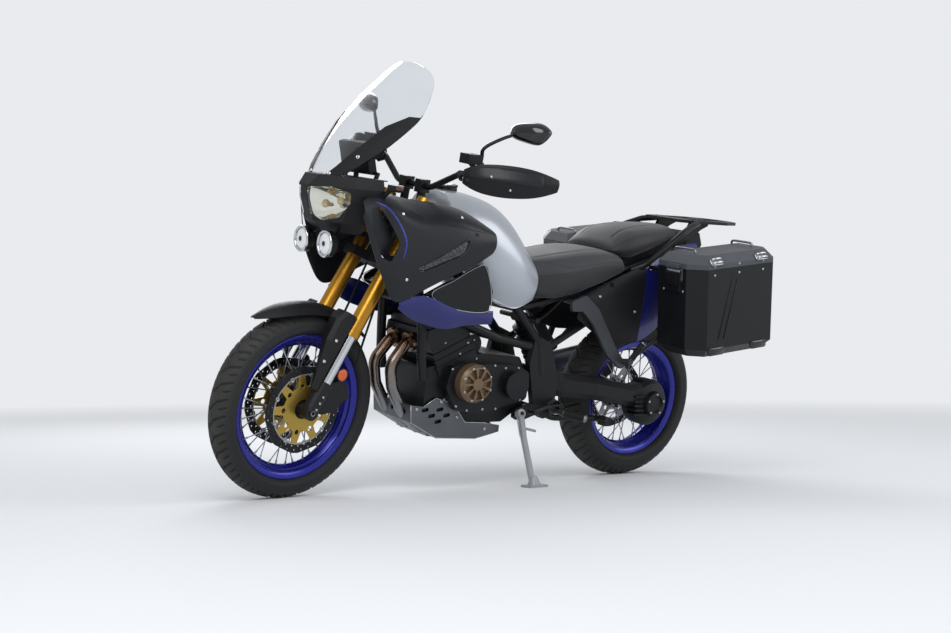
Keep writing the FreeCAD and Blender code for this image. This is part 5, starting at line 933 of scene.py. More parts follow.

# %% [markdown]
# ## Fog lamps
# Each round fog lamp has a black housing, a chromed ring and a fluted lens, with a small dark cap over the
# bulb in its middle. The bowl behind the lens is not drawn: the lens is opaque and pale, a painted
# reflection that stands for the bright bowl seen through it.

# %% Rings, lenses and caps of the fog lamps
RING = [(38, 45), (46, 46.5), (50, 44), (49, 39), (44.5, 38), (40.5, 39.5)]
LENS = [(40.4, 0.1), (40.4, 38), (43, 38.6), (45.5, 34), (47.5, 26), (49, 14), (49.4, 0.1)]
CAP = [(49.2, 0.1), (49.2, 9), (51.5, 8), (52.4, 5), (52.6, 0.1)]
fog_centres = [(694, 78 * side, 892) for side in (1, -1)]
rings = [lathe(RING, centre, (1, 0, 0), "chassis", 64, closed=True) for centre in fog_centres]
lenses = [lathe(LENS, centre, (1, 0, 0), "chassis", 64) for centre in fog_centres]
caps = [lathe(CAP, centre, (1, 0, 0), "chassis", 32) for centre in fog_centres]
dressed("fog_lamp_rings", joined(rings), "hard_chrome")
# Flutes pressed into a fog lens spread its light and draw upright bright lines on it.
# Painted reflection: the lens's pale colour stands for the bright bowl behind it, which is not drawn.
tree, shader, shade, where = surface("fluted_fog_lens_painted_bowl_reflection", "#e8eaec", 0.08, 0.15, 0.02, 0, 0, 0.4, 0.8)
flutes = add(tree, "TexWave", {"Vector": where.outputs["Object"], "Scale": 55.0, "Distortion": 0.4},
             bands_direction="Y")
old = shader.inputs["Normal"].links[0].from_socket
ripple = add(tree, "Bump", {"Height": flutes.outputs["Fac"], "Strength": 0.35, "Distance": 0.0006,
                            "Normal": old})
tree.links.new(ripple.outputs[0], shader.inputs["Normal"])
dressed("fog_lamp_lenses", joined(lenses), "fluted_fog_lens_painted_bowl_reflection")
dressed("fog_lamp_caps", joined(caps), "gloss_black_abs")
finish_of(nodes["fog_lamps"], "satin_black_powder_coat")
print("fog lamps fitted")

# %% [markdown]
# ## Screws and rivets
# Small fasteners tell the eye how large a thing is. A button-head screw is a turned profile with a sunk
# socket. To seat one, a ray is sent from outside towards the piece, and the screw is turned to the
# surface that it meets.

# %% Seating things on a node
def seated(node, start, towards, body="chassis"):
    """Where a ray from a drawing point, in a drawing direction, meets a node: place and normal in metres."""
    first, second = placed([start, np.asarray(start, float) + np.asarray(towards, float)], body)
    way = Vector(second - first).normalized()
    hit, place, normal, _ = nodes[node].ray_cast(Vector(first), way)
    if not hit:
        print("no seat on", node, "from", tuple(start))
        return None
    return np.array(place), np.array(normal if normal.dot(way) < 0 else -normal)


def from_side(node, side, spots, start, body="chassis"):
    """Seats found by rays sent in sideways, at (x, z) spots of the side view."""
    return [seated(node, (x, side * start, z), (0, -side, 0), body) for x, z in spots]


def ring_of(node, centre, radius, count, start_deg, reach=60.0):
    """Seats round a circle on a cover that faces left."""
    turn = np.radians(start_deg) + 2 * math.pi * np.arange(count) / count
    x, y, z = centre
    spots = [(x + radius * math.cos(t), z + radius * math.sin(t)) for t in turn]
    return from_side(node, 1, spots, y + reach)


def raised(seats, height_mm):
    """The seats that were found, moved out along their normals."""
    return [(place + height_mm / 1000 * normal, normal) for place, normal in filter(None, seats)]


BUTTON_HEAD = ((-0.4, 0.05), (-0.4, 1), (0.3, 1), (0.62, 0.72), (0.66, 0.46), (0.2, 0.42), (0.2, 0.05))
RIVET_HEAD = ((-0.4, 0.05), (-0.4, 1), (0.1, 1), (0.4, 0.75), (0.55, 0.05))


def screws(name, seats, radius, finish="zinc_plated_steel", body="chassis", head=BUTTON_HEAD):
    """Heads of a radius in millimetres at each seat, as one object: the head's profile is in shares of its
    radius."""
    r = radius / 1000
    profile = [(height * r, width * r) for height, width in head]
    heads = [lathe(profile, place, normal, None, 12) for place, normal in filter(None, seats)]
    return dressed(name, joined(heads), finish, body)


# %% Every screw on the machine
# places in the side view, as x and z; the screen's are seen from the front, as y and z
CASE_SPOTS = [(206, 352), (210, 470), (160, 520), (80, 500), (20, 480), (-30, 470), (-90, 470), (-128, 410),
              (-110, 350), (-70, 330), (0, 320), (60, 320), (130, 318), (180, 334)]
HEAD_SPOTS = [(250, 640), (170, 655), (230, 560), (130, 560), (60, 560)]
SKID_SPOTS = [(150, 288), (226, 346), (20, 240), (330, 322)]
SHROUD_SPOTS = [(548, 1018), (300, 1016), (520, 800), (600, 870)]
SCREEN_SPOTS = [(60, 1126), (-60, 1126), (130, 1190), (-130, 1190)]
screws("generator_cover_screws", ring_of("generator_cover", (125, 200, 421), 62, 8, 20), 5.5)
screws("left_case_screws", from_side("engine", 1, CASE_SPOTS, 320), 5.0)
screws("right_case_screws", from_side("engine", -1, CASE_SPOTS, 320), 5.0)
screws("head_cover_screws", from_side("engine", 1, HEAD_SPOTS, 320), 5.0)
screws("skid_plate_screws", from_side("skid_plate", 1, SKID_SPOTS, 260), 6.5)
screws("final_drive_screws", ring_of("final_drive", (-770, 190, 321), 40, 5, 18, 80), 5.0)
screws("shroud_screws", from_side("left_shroud", 1, SHROUD_SPOTS, 340), 6.0, "hard_chrome")
screws("right_shroud_screws", from_side("right_shroud", -1, SHROUD_SPOTS, 340), 6.0, "hard_chrome")
screws("side_cover_screws", from_side("tail_covers", 1, [(-420, 745), (-600, 690)], 260), 6.5)
screws("screen_screws", [seated("windscreen", (860, y, z), (-1, 0, 0)) for y, z in SCREEN_SPOTS], 8.0,
       "hard_chrome")
clamp = [seated("fork_lugs", leg(s, 200, 0), (0, -1, 0), "steering") for s in (16, 40, 64)]
screws("axle_clamp_screws", clamp, 5.0, body="steering")
guard = [seated("front_fender", leg(s, 220, 62), (0, -1, 0), "steering") for s in (170, 250)]
screws("fork_guard_screws", guard, 6.0, "hard_chrome", "steering")
print("screws seated")

# %% [markdown]
# ## Reflectors
# A round amber reflector faces sideways on each fork leg. It is moulded with a flat rim round a facetted
# face, which the bump of a fine cell pattern stands for.

# %% Fork reflectors
tree, shader, shade, where = surface("facetted_amber_reflector", "#c8520e", 0.14, 0, 0.05, 0, 0, 0.4, 0.7)
facets = add(tree, "TexVoronoi", {"Vector": where.outputs["Object"], "Scale": 420.0})
old = shader.inputs["Normal"].links[0].from_socket
bump = add(tree, "Bump", {"Height": facets.outputs["Distance"], "Strength": 0.8, "Distance": 0.0008,
                          "Normal": old})
tree.links.new(bump.outputs[0], shader.inputs["Normal"])
BACK = [(0, 0.1), (0, 21), (8, 23), (12, 23), (12, 20), (10, 20), (10, 0.1)]
FACE = [(9.6, 0.1), (9.6, 20), (12.4, 19.6), (13.2, 16), (13.6, 0.1)]
reflectors, backs = [], []
for side in (1, -1):
    place = leg(165, side * 100, -40)
    backs.append(lathe(BACK, place, (0, side, 0), "steering", 40))
    reflectors.append(lathe(FACE, place, (0, side, 0), "steering", 40))
    arm = [leg(165, side * 100, -24), leg(165, side * 102, -34), leg(165, side * 104, -42)]
    backs.append(tube(arm, 5, 10, "steering"))
dressed("reflector_faces", joined(reflectors), "facetted_amber_reflector", "steering")
dressed("reflector_backs", joined(backs), "gloss_black_abs", "steering")
print("reflectors on")

# %% [markdown]
# ## Fuel cap
# The cap is a machined ring held by small screws, with a hinged middle over the lock.

# %% Cap ring and middle
cap_way = np.array([0.08, 0, 1]) / math.hypot(0.08, 1)
cap_foot = np.array([206.0, 0, 1098]) + cap_way * 14
CAP_RING = [(-4, 30), (-4, 42), (1.5, 42), (3.5, 40), (3.5, 31), (2, 30)]
CAP_MIDDLE = [(-2, 0.1), (-2, 29), (4, 29), (6, 27), (6.5, 12), (5, 11), (5, 0.1)]
dressed("fuel_cap_ring", lathe(CAP_RING, cap_foot, cap_way, "chassis", 72, True), "black_cast_aluminium")
dressed("fuel_cap_middle", lathe(CAP_MIDDLE, cap_foot, cap_way, "chassis", 72), "satin_stainless_steel")
side_way = np.array([0.0, 1.0, 0.0])
fore_way = np.cross(side_way, cap_way)
cap_seats = []
for t in 2 * math.pi * np.arange(6) / 6:
    outwards = math.cos(t) * fore_way + math.sin(t) * side_way
    cap_seats.append(seated("fuel_tank", cap_foot + 36 * outwards + cap_way * 30, -cap_way))
screws("fuel_cap_screws", raised(cap_seats, 3.5), 3.0)
print("fuel cap on")

# %% [markdown]
# ## Trims of the side cases
# Each case is a moulded box with a lid. Two shoes guard its outer lower edge, two slanting lines are
# moulded into its side, and a row of rivets runs below the lid's seam and another above it. The lid has
# two bright anchors for straps on its outer slope and two rails on top, and the latch with its lever is
# on the front. All are drawn in the case's own frame, which is pitched 7 degrees: x forwards, y outwards
# and z up, from the front end of the seam.

# %% The case's own frame
CASE_FRONT = np.array([-620.0, 0.0, 884.0])
CASE_PITCH = math.radians(7.0)
CASE_OUTER = 487.0


def in_case(points, side):
    """Case points to drawing points: turned about Y by the pitch, moved to the front, mirrored for the
    right."""
    x, y, z = np.moveaxis(np.asarray(points, float), -1, 0)
    turned = np.stack([x * math.cos(CASE_PITCH) + z * math.sin(CASE_PITCH), y,
                       -x * math.sin(CASE_PITCH) + z * math.cos(CASE_PITCH)], -1) + CASE_FRONT
    return turned * [1, side, 1]


def slab(outline, depth, towards, rise=1.5):
    """A closed plate over a planar outline of 3-D points, thickened along a direction, its top edge drawn
    in."""
    outline = np.asarray(outline, float)
    towards = np.asarray(towards, float) / np.linalg.norm(towards)
    middle = outline.mean(0)
    inner = middle + (outline - middle) * (1 - rise / np.linalg.norm(outline - middle, axis=1))[:, None]
    rows = np.stack([outline - towards * 2, outline + towards * (depth - rise), inner + towards * depth])
    return capped(rows)


def rounded_box(centre, along, across, length, width, corner, count=6):
    """A rounded rectangle of points round a centre, in the plane of two directions."""
    turn = np.linspace(0, math.pi / 2, count)
    xs, ys = [], []
    for quarter, (sx, sy) in enumerate(((1, 1), (-1, 1), (-1, -1), (1, -1))):
        angle = turn + quarter * math.pi / 2
        xs.append(sx * (length / 2 - corner) + corner * np.cos(angle))
        ys.append(sy * (width / 2 - corner) + corner * np.sin(angle))
    x, y = np.concatenate(xs), np.concatenate(ys)
    along, across = np.asarray(along, float), np.asarray(across, float)
    return np.asarray(centre, float) + x[:, None] * along + y[:, None] * across


# %% Where the trims of a case are
SHOES_X, SHOES_Z = (-100, -325), -312
RIVETS_X = (-84, -212, -340)
LINES = ((-178, -112), (-206, -140))
ANCHORS_X, RAILS_X = (-92, -330), (-62, -364)
BAR = ((-1, 4), (-0.9, 12), (-0.6, 16), (0.6, 16), (0.9, 12), (1, 4))
RAIL = ((296, -4), (297, 8), (304, 13), (330, 14), (380, 14), (396, 13), (403, 8), (404, -4))
# height, length and width of each plate of the latch's lever
LEVER = ((-14, 70, 18), (-38, 44, 12))


def case_plate(side, centre, along, length, width, corner):
    """A rounded rectangle in the case's frame, with its height along z."""
    return in_case(rounded_box(centre, along, (0, 0, 1), length, width, corner), side)


def lid_anchor(lid, side, x):
    """A plate seated on the lid's slope and two bars bent over it, in metres."""
    place, normal = seated(lid, in_case((x, 640, 26), side), (0, -side, 0), lid)
    middle = place * 1000
    along = placed(in_case([(1, 0, 0)], side), lid)[0] - placed(in_case([(0, 0, 0)], side), lid)[0]
    along /= np.linalg.norm(along)
    up = np.cross(normal, along)
    box = rounded_box(middle, along, up, 62, 30, 8)
    rows = np.stack([box - normal * 2, box + normal * 4, middle + (box - middle) * 0.86 + normal * 6])
    points, faces = capped(rows)
    bars = []
    for rise in (-8, 8):
        bar = [middle + up * rise + along * s * 24 + normal * h for s, h in BAR]
        bar_points, bar_faces = tube(np.array(bar), 3.2, 10, None)
        bars.append((bar_points / 1000, bar_faces))
    return (points / 1000, faces), bars


# %% Both cases
for side, word in ((1, "left"), (-1, "right")):
    case, lid = word + "_pannier", word + "_lid"
    out, fore = (0, side, 0), in_case([(1, 0, 0)], side)[0] - in_case([(0, 0, 0)], side)[0]
    shoes = [slab(case_plate(side, (x, CASE_OUTER, SHOES_Z), (1, 0, 0), 84, 30, 9), 4.5, out)
             for x in SHOES_X]
    fitted(word + "_case_shoes", joined(shoes), "gloss_black_abs")
    lines = []
    for top, low in LINES:
        outline = [(top - 2.5, CASE_OUTER, -44), (top + 2.5, CASE_OUTER, -44), (low + 2.5, CASE_OUTER, -268),
                   (low - 2.5, CASE_OUTER, -268)]
        lines.append(slab(in_case(outline, side), 2.0, out, 1.0))
    fitted(word + "_case_lines", joined(lines), "grained_case_black")
    seats = [seated(case, in_case((x, 640, -22), side), (0, -side, 0)) for x in RIVETS_X]
    seats += [seated(case, in_case((60, y, -78), side), (-1, 0, 0)) for y in (316, 404)]
    screws(word + "_case_rivets", seats, 5.0, head=RIVET_HEAD)
    seats = [seated(lid, in_case((x, 640, 12), side), (0, -side, 0), lid) for x in RIVETS_X]
    screws(word + "_lid_rivets", seats, 5.0, body=lid, head=RIVET_HEAD)
    seats = [seated(case, in_case((x + offset, 640, SHOES_Z), side), (0, -side, 0))
             for x in SHOES_X for offset in (-28, 0, 28)]
    screws(word + "_shoe_screws", raised(seats, 4.5), 4.5)
    plates_and_bars = [lid_anchor(lid, side, x) for x in ANCHORS_X]
    anchors = [plate for plate, _ in plates_and_bars]
    straps = [bar for _, bars in plates_and_bars for bar in bars]
    dressed(word + "_lid_anchors", joined(anchors), "satin_stainless_steel", lid)
    dressed(word + "_lid_strap_bars", joined(straps), "hard_chrome", lid)
    rails = [in_case([(x, y, 52 + h) for y, h in RAIL], side) for x in RAILS_X]
    rails = [tube(flowing(rail, 40), 4.5, 12, lid) for rail in rails]
    dressed(word + "_lid_rails", joined(rails), "satin_stainless_steel", lid)
    latch = case_plate(side, (0, 362, -24), (0, 1, 0), 92, 52, 8)
    fitted(word + "_case_latch", slab(latch, 9, fore, 3), "gloss_black_abs")
    lever = [slab(case_plate(side, (8.6, 362, z), (0, 1, 0), long, high, 5), 5, fore, 2)
             for z, long, high in LEVER]
    fitted(word + "_case_latch_lever", joined(lever), "satin_stainless_steel")
print("cases trimmed")

# %% [markdown]
# ## Shroud details
# The shroud is one moulded shell. A blue stripe is inlaid behind the mouth of its scoop, and a crease
# runs back from it. Both have to follow the moulding, so they are laid on the led surface: the points of
# the surface nearest to a line drawn in the side view carry them.

# %% Strips laid on a surface
SHROUD_SECTIONS = [
    (676, [(196, 1050), (206, 1040), (214, 1020), (212, 1004), (206, 996)]),
    (640, [(178, 1072), (212, 1058), (246, 980), (252, 900), (240, 870)]),
    (600, [(162, 1082), (232, 1066), (262, 960), (268, 840), (246, 790)]),
    (560, [(152, 1080), (242, 1060), (268, 940), (270, 800), (240, 722)]),
    (516, [(150, 1070), (250, 1042), (272, 910), (268, 800), (236, 718)]),
    (460, [(156, 1062), (256, 1020), (276, 900), (268, 820), (240, 748)]),
    (337, [(168, 1058), (248, 1040), (280, 930), (270, 866), (240, 806)]),
    (230, [(186, 1030), (250, 1010), (280, 940), (272, 890), (246, 850)]),
    (160, [(214, 984), (256, 974), (272, 944), (268, 914), (250, 896)]),
]
shroud_grid = led([[(x, y, z) for y, z in line] for x, line in SHROUD_SECTIONS], 360, 200)
shroud_normals = normals_of(shroud_grid)
shroud_normals *= np.sign(shroud_normals[..., 1:2] + 1e-9)

STRIP_STEPS = 60


def nearest_on_shroud(points):
    """For each (x, z) point, the number of the surface's point nearest to it in the side view."""
    flat = shroud_grid[..., [0, 2]].reshape(-1, 2)
    return np.array([np.argmin(((flat - point) ** 2).sum(1)) for point in points])


def laid(path, width, lift):
    """A strip along a line of (x, z) points: at each step the nearest surface point, smoothed along the
    strip, widened both ways across the line within the surface and lifted along its normal."""
    nearest = nearest_on_shroud(flowing(path, STRIP_STEPS))
    place, normal = shroud_grid.reshape(-1, 3)[nearest], shroud_normals.reshape(-1, 3)[nearest]
    kernel = np.ones(7) / 7
    columns = [np.convolve(np.pad(place[:, k], 3, mode="edge"), kernel, "valid") for k in range(3)]
    place = np.stack(columns, 1)
    along = np.gradient(place, axis=0)
    sideways = np.cross(normal, along)
    sideways /= np.linalg.norm(sideways, axis=1)[:, None]
    step = np.arange(STRIP_STEPS)
    taper = np.clip(np.minimum(step, step[::-1]) / 8, 0.1, 1)[:, None]
    half = sideways * width / 2 * taper
    right, left = place - half, place + half
    outer = np.stack([right + normal * lift, place + normal * (lift + 0.3), left + normal * lift], 1)
    inner = np.stack([right - normal * 0.6, place - normal * 0.6, left - normal * 0.6], 1)
    return wall(outer, inner)


# %% Stripe and crease
STRIPE = [(640, 1052), (604, 1036), (560, 980), (536, 920), (548, 862)]
CREASE = [(520, 1030), (430, 1000), (320, 985), (200, 968)]
for side, word in ((1, "left"), (-1, "right")):
    for piece, path, width, lift, finish in (("_shroud_stripe", STRIPE, 7.0, 0.7, "blue_metallic_lacquer"),
                                             ("_shroud_crease", CREASE, 3.0, 0.9, "dark_grey_abs_panel")):
        points, faces = laid(path, width, lift)
        fitted(word + piece, outward(points * [1, side, 1], faces), finish)
print("stripes laid")

# %% [markdown]
# ## Mirrors
# A mirror is a smooth shell, deepest in its middle, round a flat glass. Its outline is an uneven oval;
# each section is the outline shrunk and set back along the way the glass faces.

# %% Mirror shells and glasses
MIRROR_OUTLINE = [(-74, 6), (-60, 30), (-20, 38), (38, 36), (72, 14), (70, -6), (30, -36), (-30, -26),
                  (-66, -12)]
mirror_across = np.array([-0.34, 0.93, 0.13]) / np.linalg.norm([-0.34, 0.93, 0.13])
mirror_back = np.array([-0.93, -0.34, 0.0]) / np.linalg.norm([-0.93, -0.34, 0.0])
mirror_up = np.cross(mirror_across, mirror_back)
mirror_up *= np.sign(mirror_up[2])
mirror_centre = np.array([246.0, 425.0, 1352.0])
outline = flowing(MIRROR_OUTLINE, 96, closed=True)


def mirror_rows(sections):
    """Sections of the mirror, each a depth along the way it faces and a share of the outline."""
    return np.stack([mirror_centre + mirror_back * depth + outline[:, :1] * share * mirror_across
                     + outline[:, 1:] * share * mirror_up for depth, share in sections])


shell_sections = [(-36 + 42 * t ** 1.6, math.sin(math.pi / 2 * min(1, 0.12 + 0.88 * t)) ** 0.8)
                  for t in np.linspace(0, 1, 14)]
SHELL_LIP, GLASS = [(6.5, 0.97), (4.5, 0.955)], [(3.6, 0.93), (5.4, 0.93), (5.8, 0.9)]
STEM = [(300, 262, 1214), (309, 274, 1250), (316, 286, 1280), (296, 325, 1313), (272, 372, 1340),
        mirror_centre - mirror_back * 22]
STEM_FOOT = [(-8, 0.1), (-8, 12), (6, 12), (9, 14), (14, 14), (17, 9), (18, 0.1)]
shells, glasses = [], []
for side in (1, -1):
    flip = np.array([1, side, 1])
    shells.append(capped(mirror_rows(shell_sections + SHELL_LIP) * flip))
    shells.append(tube(flowing(STEM, 60) * flip, np.linspace(7.5, 5.5, 60), 14, None))
    shells.append(lathe(STEM_FOOT, np.array(STEM[0]) * flip, (0, 0, 1), None, 32))
    glasses.append(capped(mirror_rows(GLASS) * flip))
fitted("mirror_shells", joined(shells), "gloss_black_abs", "steering", "mirrors")
fitted("mirror_glasses", joined(glasses), "mirror_glass", "steering")
print("mirrors hung")

# %% [markdown]
# ## Hand guards
# Each guard is two mouldings: a cap over the upper part of the outer shell, whose lower edge makes the
# step that runs along it. The cap lies on the same led surface, three millimetres out, and sinks into it
# along its border.

# %% Caps of the hand guards
# x, y, the way the guard faces in degrees, lower and upper edge, how far its edges fall back
GUARD_SECTIONS = [(398, 292, 62, 1158, 1204, 4), (396, 332, 50, 1140, 1226, 10),
                  (352, 404, 46, 1128, 1240, 16), (268, 470, 60, 1134, 1240, 16),
                  (196, 500, 74, 1152, 1226, 10), (150, 503, 84, 1170, 1212, 4)]
rows = []
for x, y, turn, low, high, bulge in GUARD_SECTIONS:
    way = np.array([math.cos(math.radians(turn)), math.sin(math.radians(turn)), 0])
    middle = low + 0.55 * (high - low)
    line = ((-1.6 * bulge, low), (0, middle - 8), (0, middle + 10), (-1.6 * bulge, high))
    rows.append([np.array([x, y, z]) + way * fall for fall, z in line])
guard_grid = led(rows, 120, 60)
guard_normals = normals_of(guard_grid)
guard_normals *= np.sign(guard_normals @ np.array([0.7, 0.7, 0.0]))[..., None]
CAP_STEPS, CAP_RISE, CAP_SINK = (76, 34), 3.2, 0.8
u, v = np.meshgrid(np.linspace(0, 1, CAP_STEPS[0]), np.linspace(0, 1, CAP_STEPS[1]), indexing="ij")
u_at = (8 + u * 88).round().astype(int)
v_at = (60 * (0.42 - 0.14 * u ** 2 + v * (0.52 + 0.10 * u ** 2))).astype(int)
v_at = np.minimum(v_at, 58)
edge = np.minimum.reduce([u * 88, (1 - u) * 88, v * 33, (1 - v) * 33])
rise = (CAP_RISE * np.clip(edge / 2.2, 0, 1) ** 0.5 - 0.4)[..., None]
place, way = guard_grid[u_at, v_at], guard_normals[u_at, v_at]
caps = [wall((place + way * rise) * [1, side, 1], (place - way * CAP_SINK) * [1, side, 1])
        for side in (1, -1)]
fitted("hand_guard_caps", joined(caps), "dark_grey_abs_panel", "steering")
seats = [seated("hand_guards", (x, side * 700, z), (-0.35, -side, 0), "steering")
         for side in (1, -1) for x, z in ((400, 1160), (470, 1196))]
screws("hand_guard_screws", seats, 4.5, "hard_chrome", "steering")
print("hand guards capped")

# %% [markdown]
# ## Rear lamps and dials
# The tail lamp is one red lens across the end of the tail, and the indicators have smoked lenses. The
# dials are behind one dark glass.

# %% Lenses
TAIL_TILT, DASH_TILT = (0.371, 0, 0.928), (0.25, 0, 0.968)
tail_way = np.array([-50.0, 0, 20]) / math.hypot(50, 20)
lens = rounded_box((-1020, 0, 975), (0, 1, 0), TAIL_TILT, 132, 34, 14, 10)
fitted("tail_lamp_lens", slab(lens, 5, tail_way, 2.5), "red_lamp_lens")
lenses = []
for side in (1, -1):
    rear = rounded_box((0, 168, 806), (0, 1, 0), (0, 0, 1), 30, 15, 6)
    rear[:, 0] = -1064 + 8 * (rear[:, 1] - 150) / 38
    lenses.append(slab(rear * [1, side, 1], 3, (-1, 0, 0)))
    front = rounded_box((588, side * 272, 1102), (1, 0, 0), (0, 0.2 * side, 1), 30, 12, 5)
    lenses.append(slab(front, 3, (0, side, 0)))
fitted("indicator_lenses", joined(lenses), "smoked_amber_lens")
dial = rounded_box((575, 0, 1188), (0, 1, 0), DASH_TILT, 156, 92, 16, 8)
fitted("dial_glass", slab(dial, 3, (-0.968, 0, 0.25), 1.2), "dark_display_glass")
print("rear lamps and dials on")

# %% [markdown]
# ## Borders and bright edges
# The grained cover below the shroud has a light raised border. Lines of bright aluminium are drawn along
# the folded skid plate's edges, lighter than the blasted plate.

# %% Borders
COVER_LINE = [(397, 746), (300, 694), (136, 684), (124, 760), (160, 852), (200, 852), (300, 800)]
COVER_Y, SKID_Y = 227.2, 121.5
SKID_EDGES = ([(-48, 250), (20, 262), (112, 268), (148, 312), (168, 338), (250, 360), (300, 330)],
              [(356, 336), (349, 274), (236, 214), (60, 204), (-48, 228)])
line = flowing(COVER_LINE, 120, True)
line = line.mean(0) + (line - line.mean(0)) * 0.93
line = np.concatenate([line, line[:1]])
borders, edges = [], []
for side in (1, -1):
    border = np.stack([line[:, 0], np.full(len(line), side * COVER_Y), line[:, 1]], 1)
    borders.append(tube(border, 1.5, 8, None))
    for path in SKID_EDGES:
        edges.append(tube([(x, side * SKID_Y, z) for x, z in path], 1.4, 8, None))
fitted("side_cover_borders", joined(borders), "zinc_plated_steel")
# Lines of bright aluminium along the skid plate's edges, lighter than the blasted plate itself.
fitted("skid_plate_edges", joined(edges), "bright_aluminium_edge")
print("edges drawn")

# %% [markdown]
# ## Header pipes
# Heat turns the pipes brown near the engine. The tint fades from bronze at the head to plain steel lower
# down.

# %% Heat tint
PLAIN_BELOW, TINTED_ABOVE = 0.30, 0.56
tree, shader, shade, where = surface("heat_tinted_steel", "#8b8d90", 0.26, 1.0, 0.12, 0.7, 0.12, 0.8)
height = add(tree, "SeparateXYZ", {"Vector": where.outputs["Object"]})
share = add(tree, "MapRange", {"Value": height.outputs["Z"], "From Min": PLAIN_BELOW,
                               "From Max": TINTED_ABOVE})
tinted = add(tree, "Mix", {0: share.outputs[0], 6: shade.outputs[2], 7: colour("#7a5f49")}, data_type="RGBA")
tree.links.new(tinted.outputs[2], shader.inputs["Base Color"])
finish_of(nodes["exhaust_pipes"], "heat_tinted_steel")
print("pipes tinted")

# %% [markdown]
# ## Muffler
# The can is oval and swells from the pipe, with a dark end cap round a short hollow outlet and two raised
# bands. Every section is an ellipse across the can's axis.

# %% Oval can
can_start, can_end = np.array([-436.0, -256.0, 366.0]), np.array([-846.0, -274.0, 432.0])
can_length = np.linalg.norm(can_end - can_start)
can_axis = (can_end - can_start) / can_length
can_side = np.cross([0.0, 1.0, 0.0], can_axis)
can_side /= np.linalg.norm(can_side)


def can_rows(sections):
    """Ellipses across the can: each a distance along it, a half width and a half height."""
    turn = circle_angles(72)[:, None]
    level, upright = np.array([0.0, 1.0, 0.0]) * np.cos(turn), can_side * np.sin(turn)
    return np.stack([can_start + can_axis * along + level * wide + upright * tall
                     for along, wide, tall in sections])


CAN = [(0, 28, 28), (14, 32, 33), (60, 51, 61), (110, 53, 64), (260, 53.6, 65), (can_length - 44, 54, 66)]
bands = []
for middle, wide, tall in ((84, 52, 62.6), (can_length - 50, 53.8, 65.8)):
    band = [(middle + d, wide + r, tall + r) for d, r in ((-6, -1), (-5, 1.4), (5, 1.4), (6, -1))]
    bands.append(capped(can_rows(band)))
# distance from the can's end, half width, half height
END_CAP = [(-46, 54.4, 66.4), (-40, 54.6, 66.6), (-16, 49, 60), (-3, 42, 52), (0, 38, 47), (-6, 27, 30),
           (-8, 23, 23)]
OUTLET = [(-60, 18), (22, 18.4), (22.8, 20), (22, 22), (-60, 22)]
fitted("muffler_can", joined([capped(can_rows(flowing(CAN, 60)))] + bands), "satin_stainless_steel",
       node="muffler")
end_rows = can_rows([(can_length + along, wide, tall) for along, wide, tall in END_CAP])
fitted("muffler_end_cap", outward(*capped(end_rows)), "black_cast_aluminium")
dressed("muffler_outlet", lathe(OUTLET, can_end, can_axis, "chassis", 48, True), "satin_stainless_steel")
print("muffler on")

# %% [markdown]
# ## Peg rubbers and the stand's spring
# The pegs have ribbed rubbers. The side stand's spring is a coil beside the top of its leg, hooked to it
# at both ends.

# %% Small parts by the feet
# inner end, outer end, radius: the rider's peg and the passenger's
PEGS = (((-288, 208, 304.4), (-328, 279, 298.3), 14.4), ((-554, 251, 515), (-590, 267, 579), 12.2))
rubbers, ends = [], []
for side in (1, -1):
    flip = np.array([1, side, 1])
    for start, end, radius in PEGS:
        line = np.linspace(start, end, 90) * flip
        ribs = radius + 1.0 * np.sign(np.sin(np.linspace(0, 18 * math.pi, 90)))
        rubbers.append(tube(line, ribs, 20, None))
        end_cap = [(-2, 0.1), (-2, radius + 0.4), (1, radius + 0.4), (3.5, radius - 3), (4, 0.1)]
        ends.append(lathe(end_cap, line[-1], line[-1] - line[0], None, 28))
fitted("peg_rubbers", joined(rubbers), "smooth_black_rubber")
fitted("peg_ends", joined(ends), "zinc_plated_steel")
COILS, COIL_RADIUS, WIRE = 11, 5.2, 1.3
top, low = np.array([-95.0, 171.0, 284.0]), np.array([-99.0, 193.0, 222.0])
way = (low - top) / np.linalg.norm(low - top)
first = np.cross(way, [0.0, 1.0, 0.0]) / np.linalg.norm(np.cross(way, [0.0, 1.0, 0.0]))
second = np.cross(way, first)
turn = np.linspace(0, 2 * COILS * math.pi, 260)[:, None]
middle = top + (low - top) * np.linspace(0, 1, 260)[:, None]
coil = middle + COIL_RADIUS * (first * np.cos(turn) + second * np.sin(turn))
spring = [tube(coil, WIRE, 8, None), tube([coil[0], top + (-2, -2, 6), (-104, 166, 293)], WIRE, 8, None),
          tube([coil[-1], low + (-4, 0, -5), (-110, 193, 215)], WIRE, 8, None)]
fitted("side_stand_spring", joined(spring), "zinc_plated_steel", "side_stand")
print("spring hooked")

# %% [markdown]
# ## Tank
# Lacquer shows every ripple, so the tank gets a closer net of points than its solid's mesh. Its outside
# is the surface led by the solid's own sections. Where the solid is cut away, for the fork clamps, a
# point is drawn to the nearest one of the solid. Underneath, a tunnel leaves room for the frame.

# %% Tank skin
TANK_SECTIONS = [
    (266, [(0, 1100), (78, 1090), (126, 1052), (156, 990), (160, 930), (112, 880)]),
    (212, [(0, 1104), (78, 1096), (140, 1056), (176, 990), (182, 900), (120, 850)]),
    (100, [(0, 1086), (80, 1076), (150, 1030), (190, 950), (196, 800), (130, 750)]),
    (17, [(0, 1058), (78, 1048), (140, 1000), (188, 920), (200, 780), (150, 700)]),
    (-60, [(0, 990), (70, 984), (128, 950), (178, 880), (196, 770), (150, 684)]),
    (-122, [(0, 900), (60, 896), (112, 876), (160, 836), (180, 780), (150, 724)]),
]
TANK_GRID = 181
# x of four places along the tunnel, and how high its roof is there
TUNNEL_X, TUNNEL_ROOF = [-140, 0, 230, 340], [830, 880, 960, 1000]
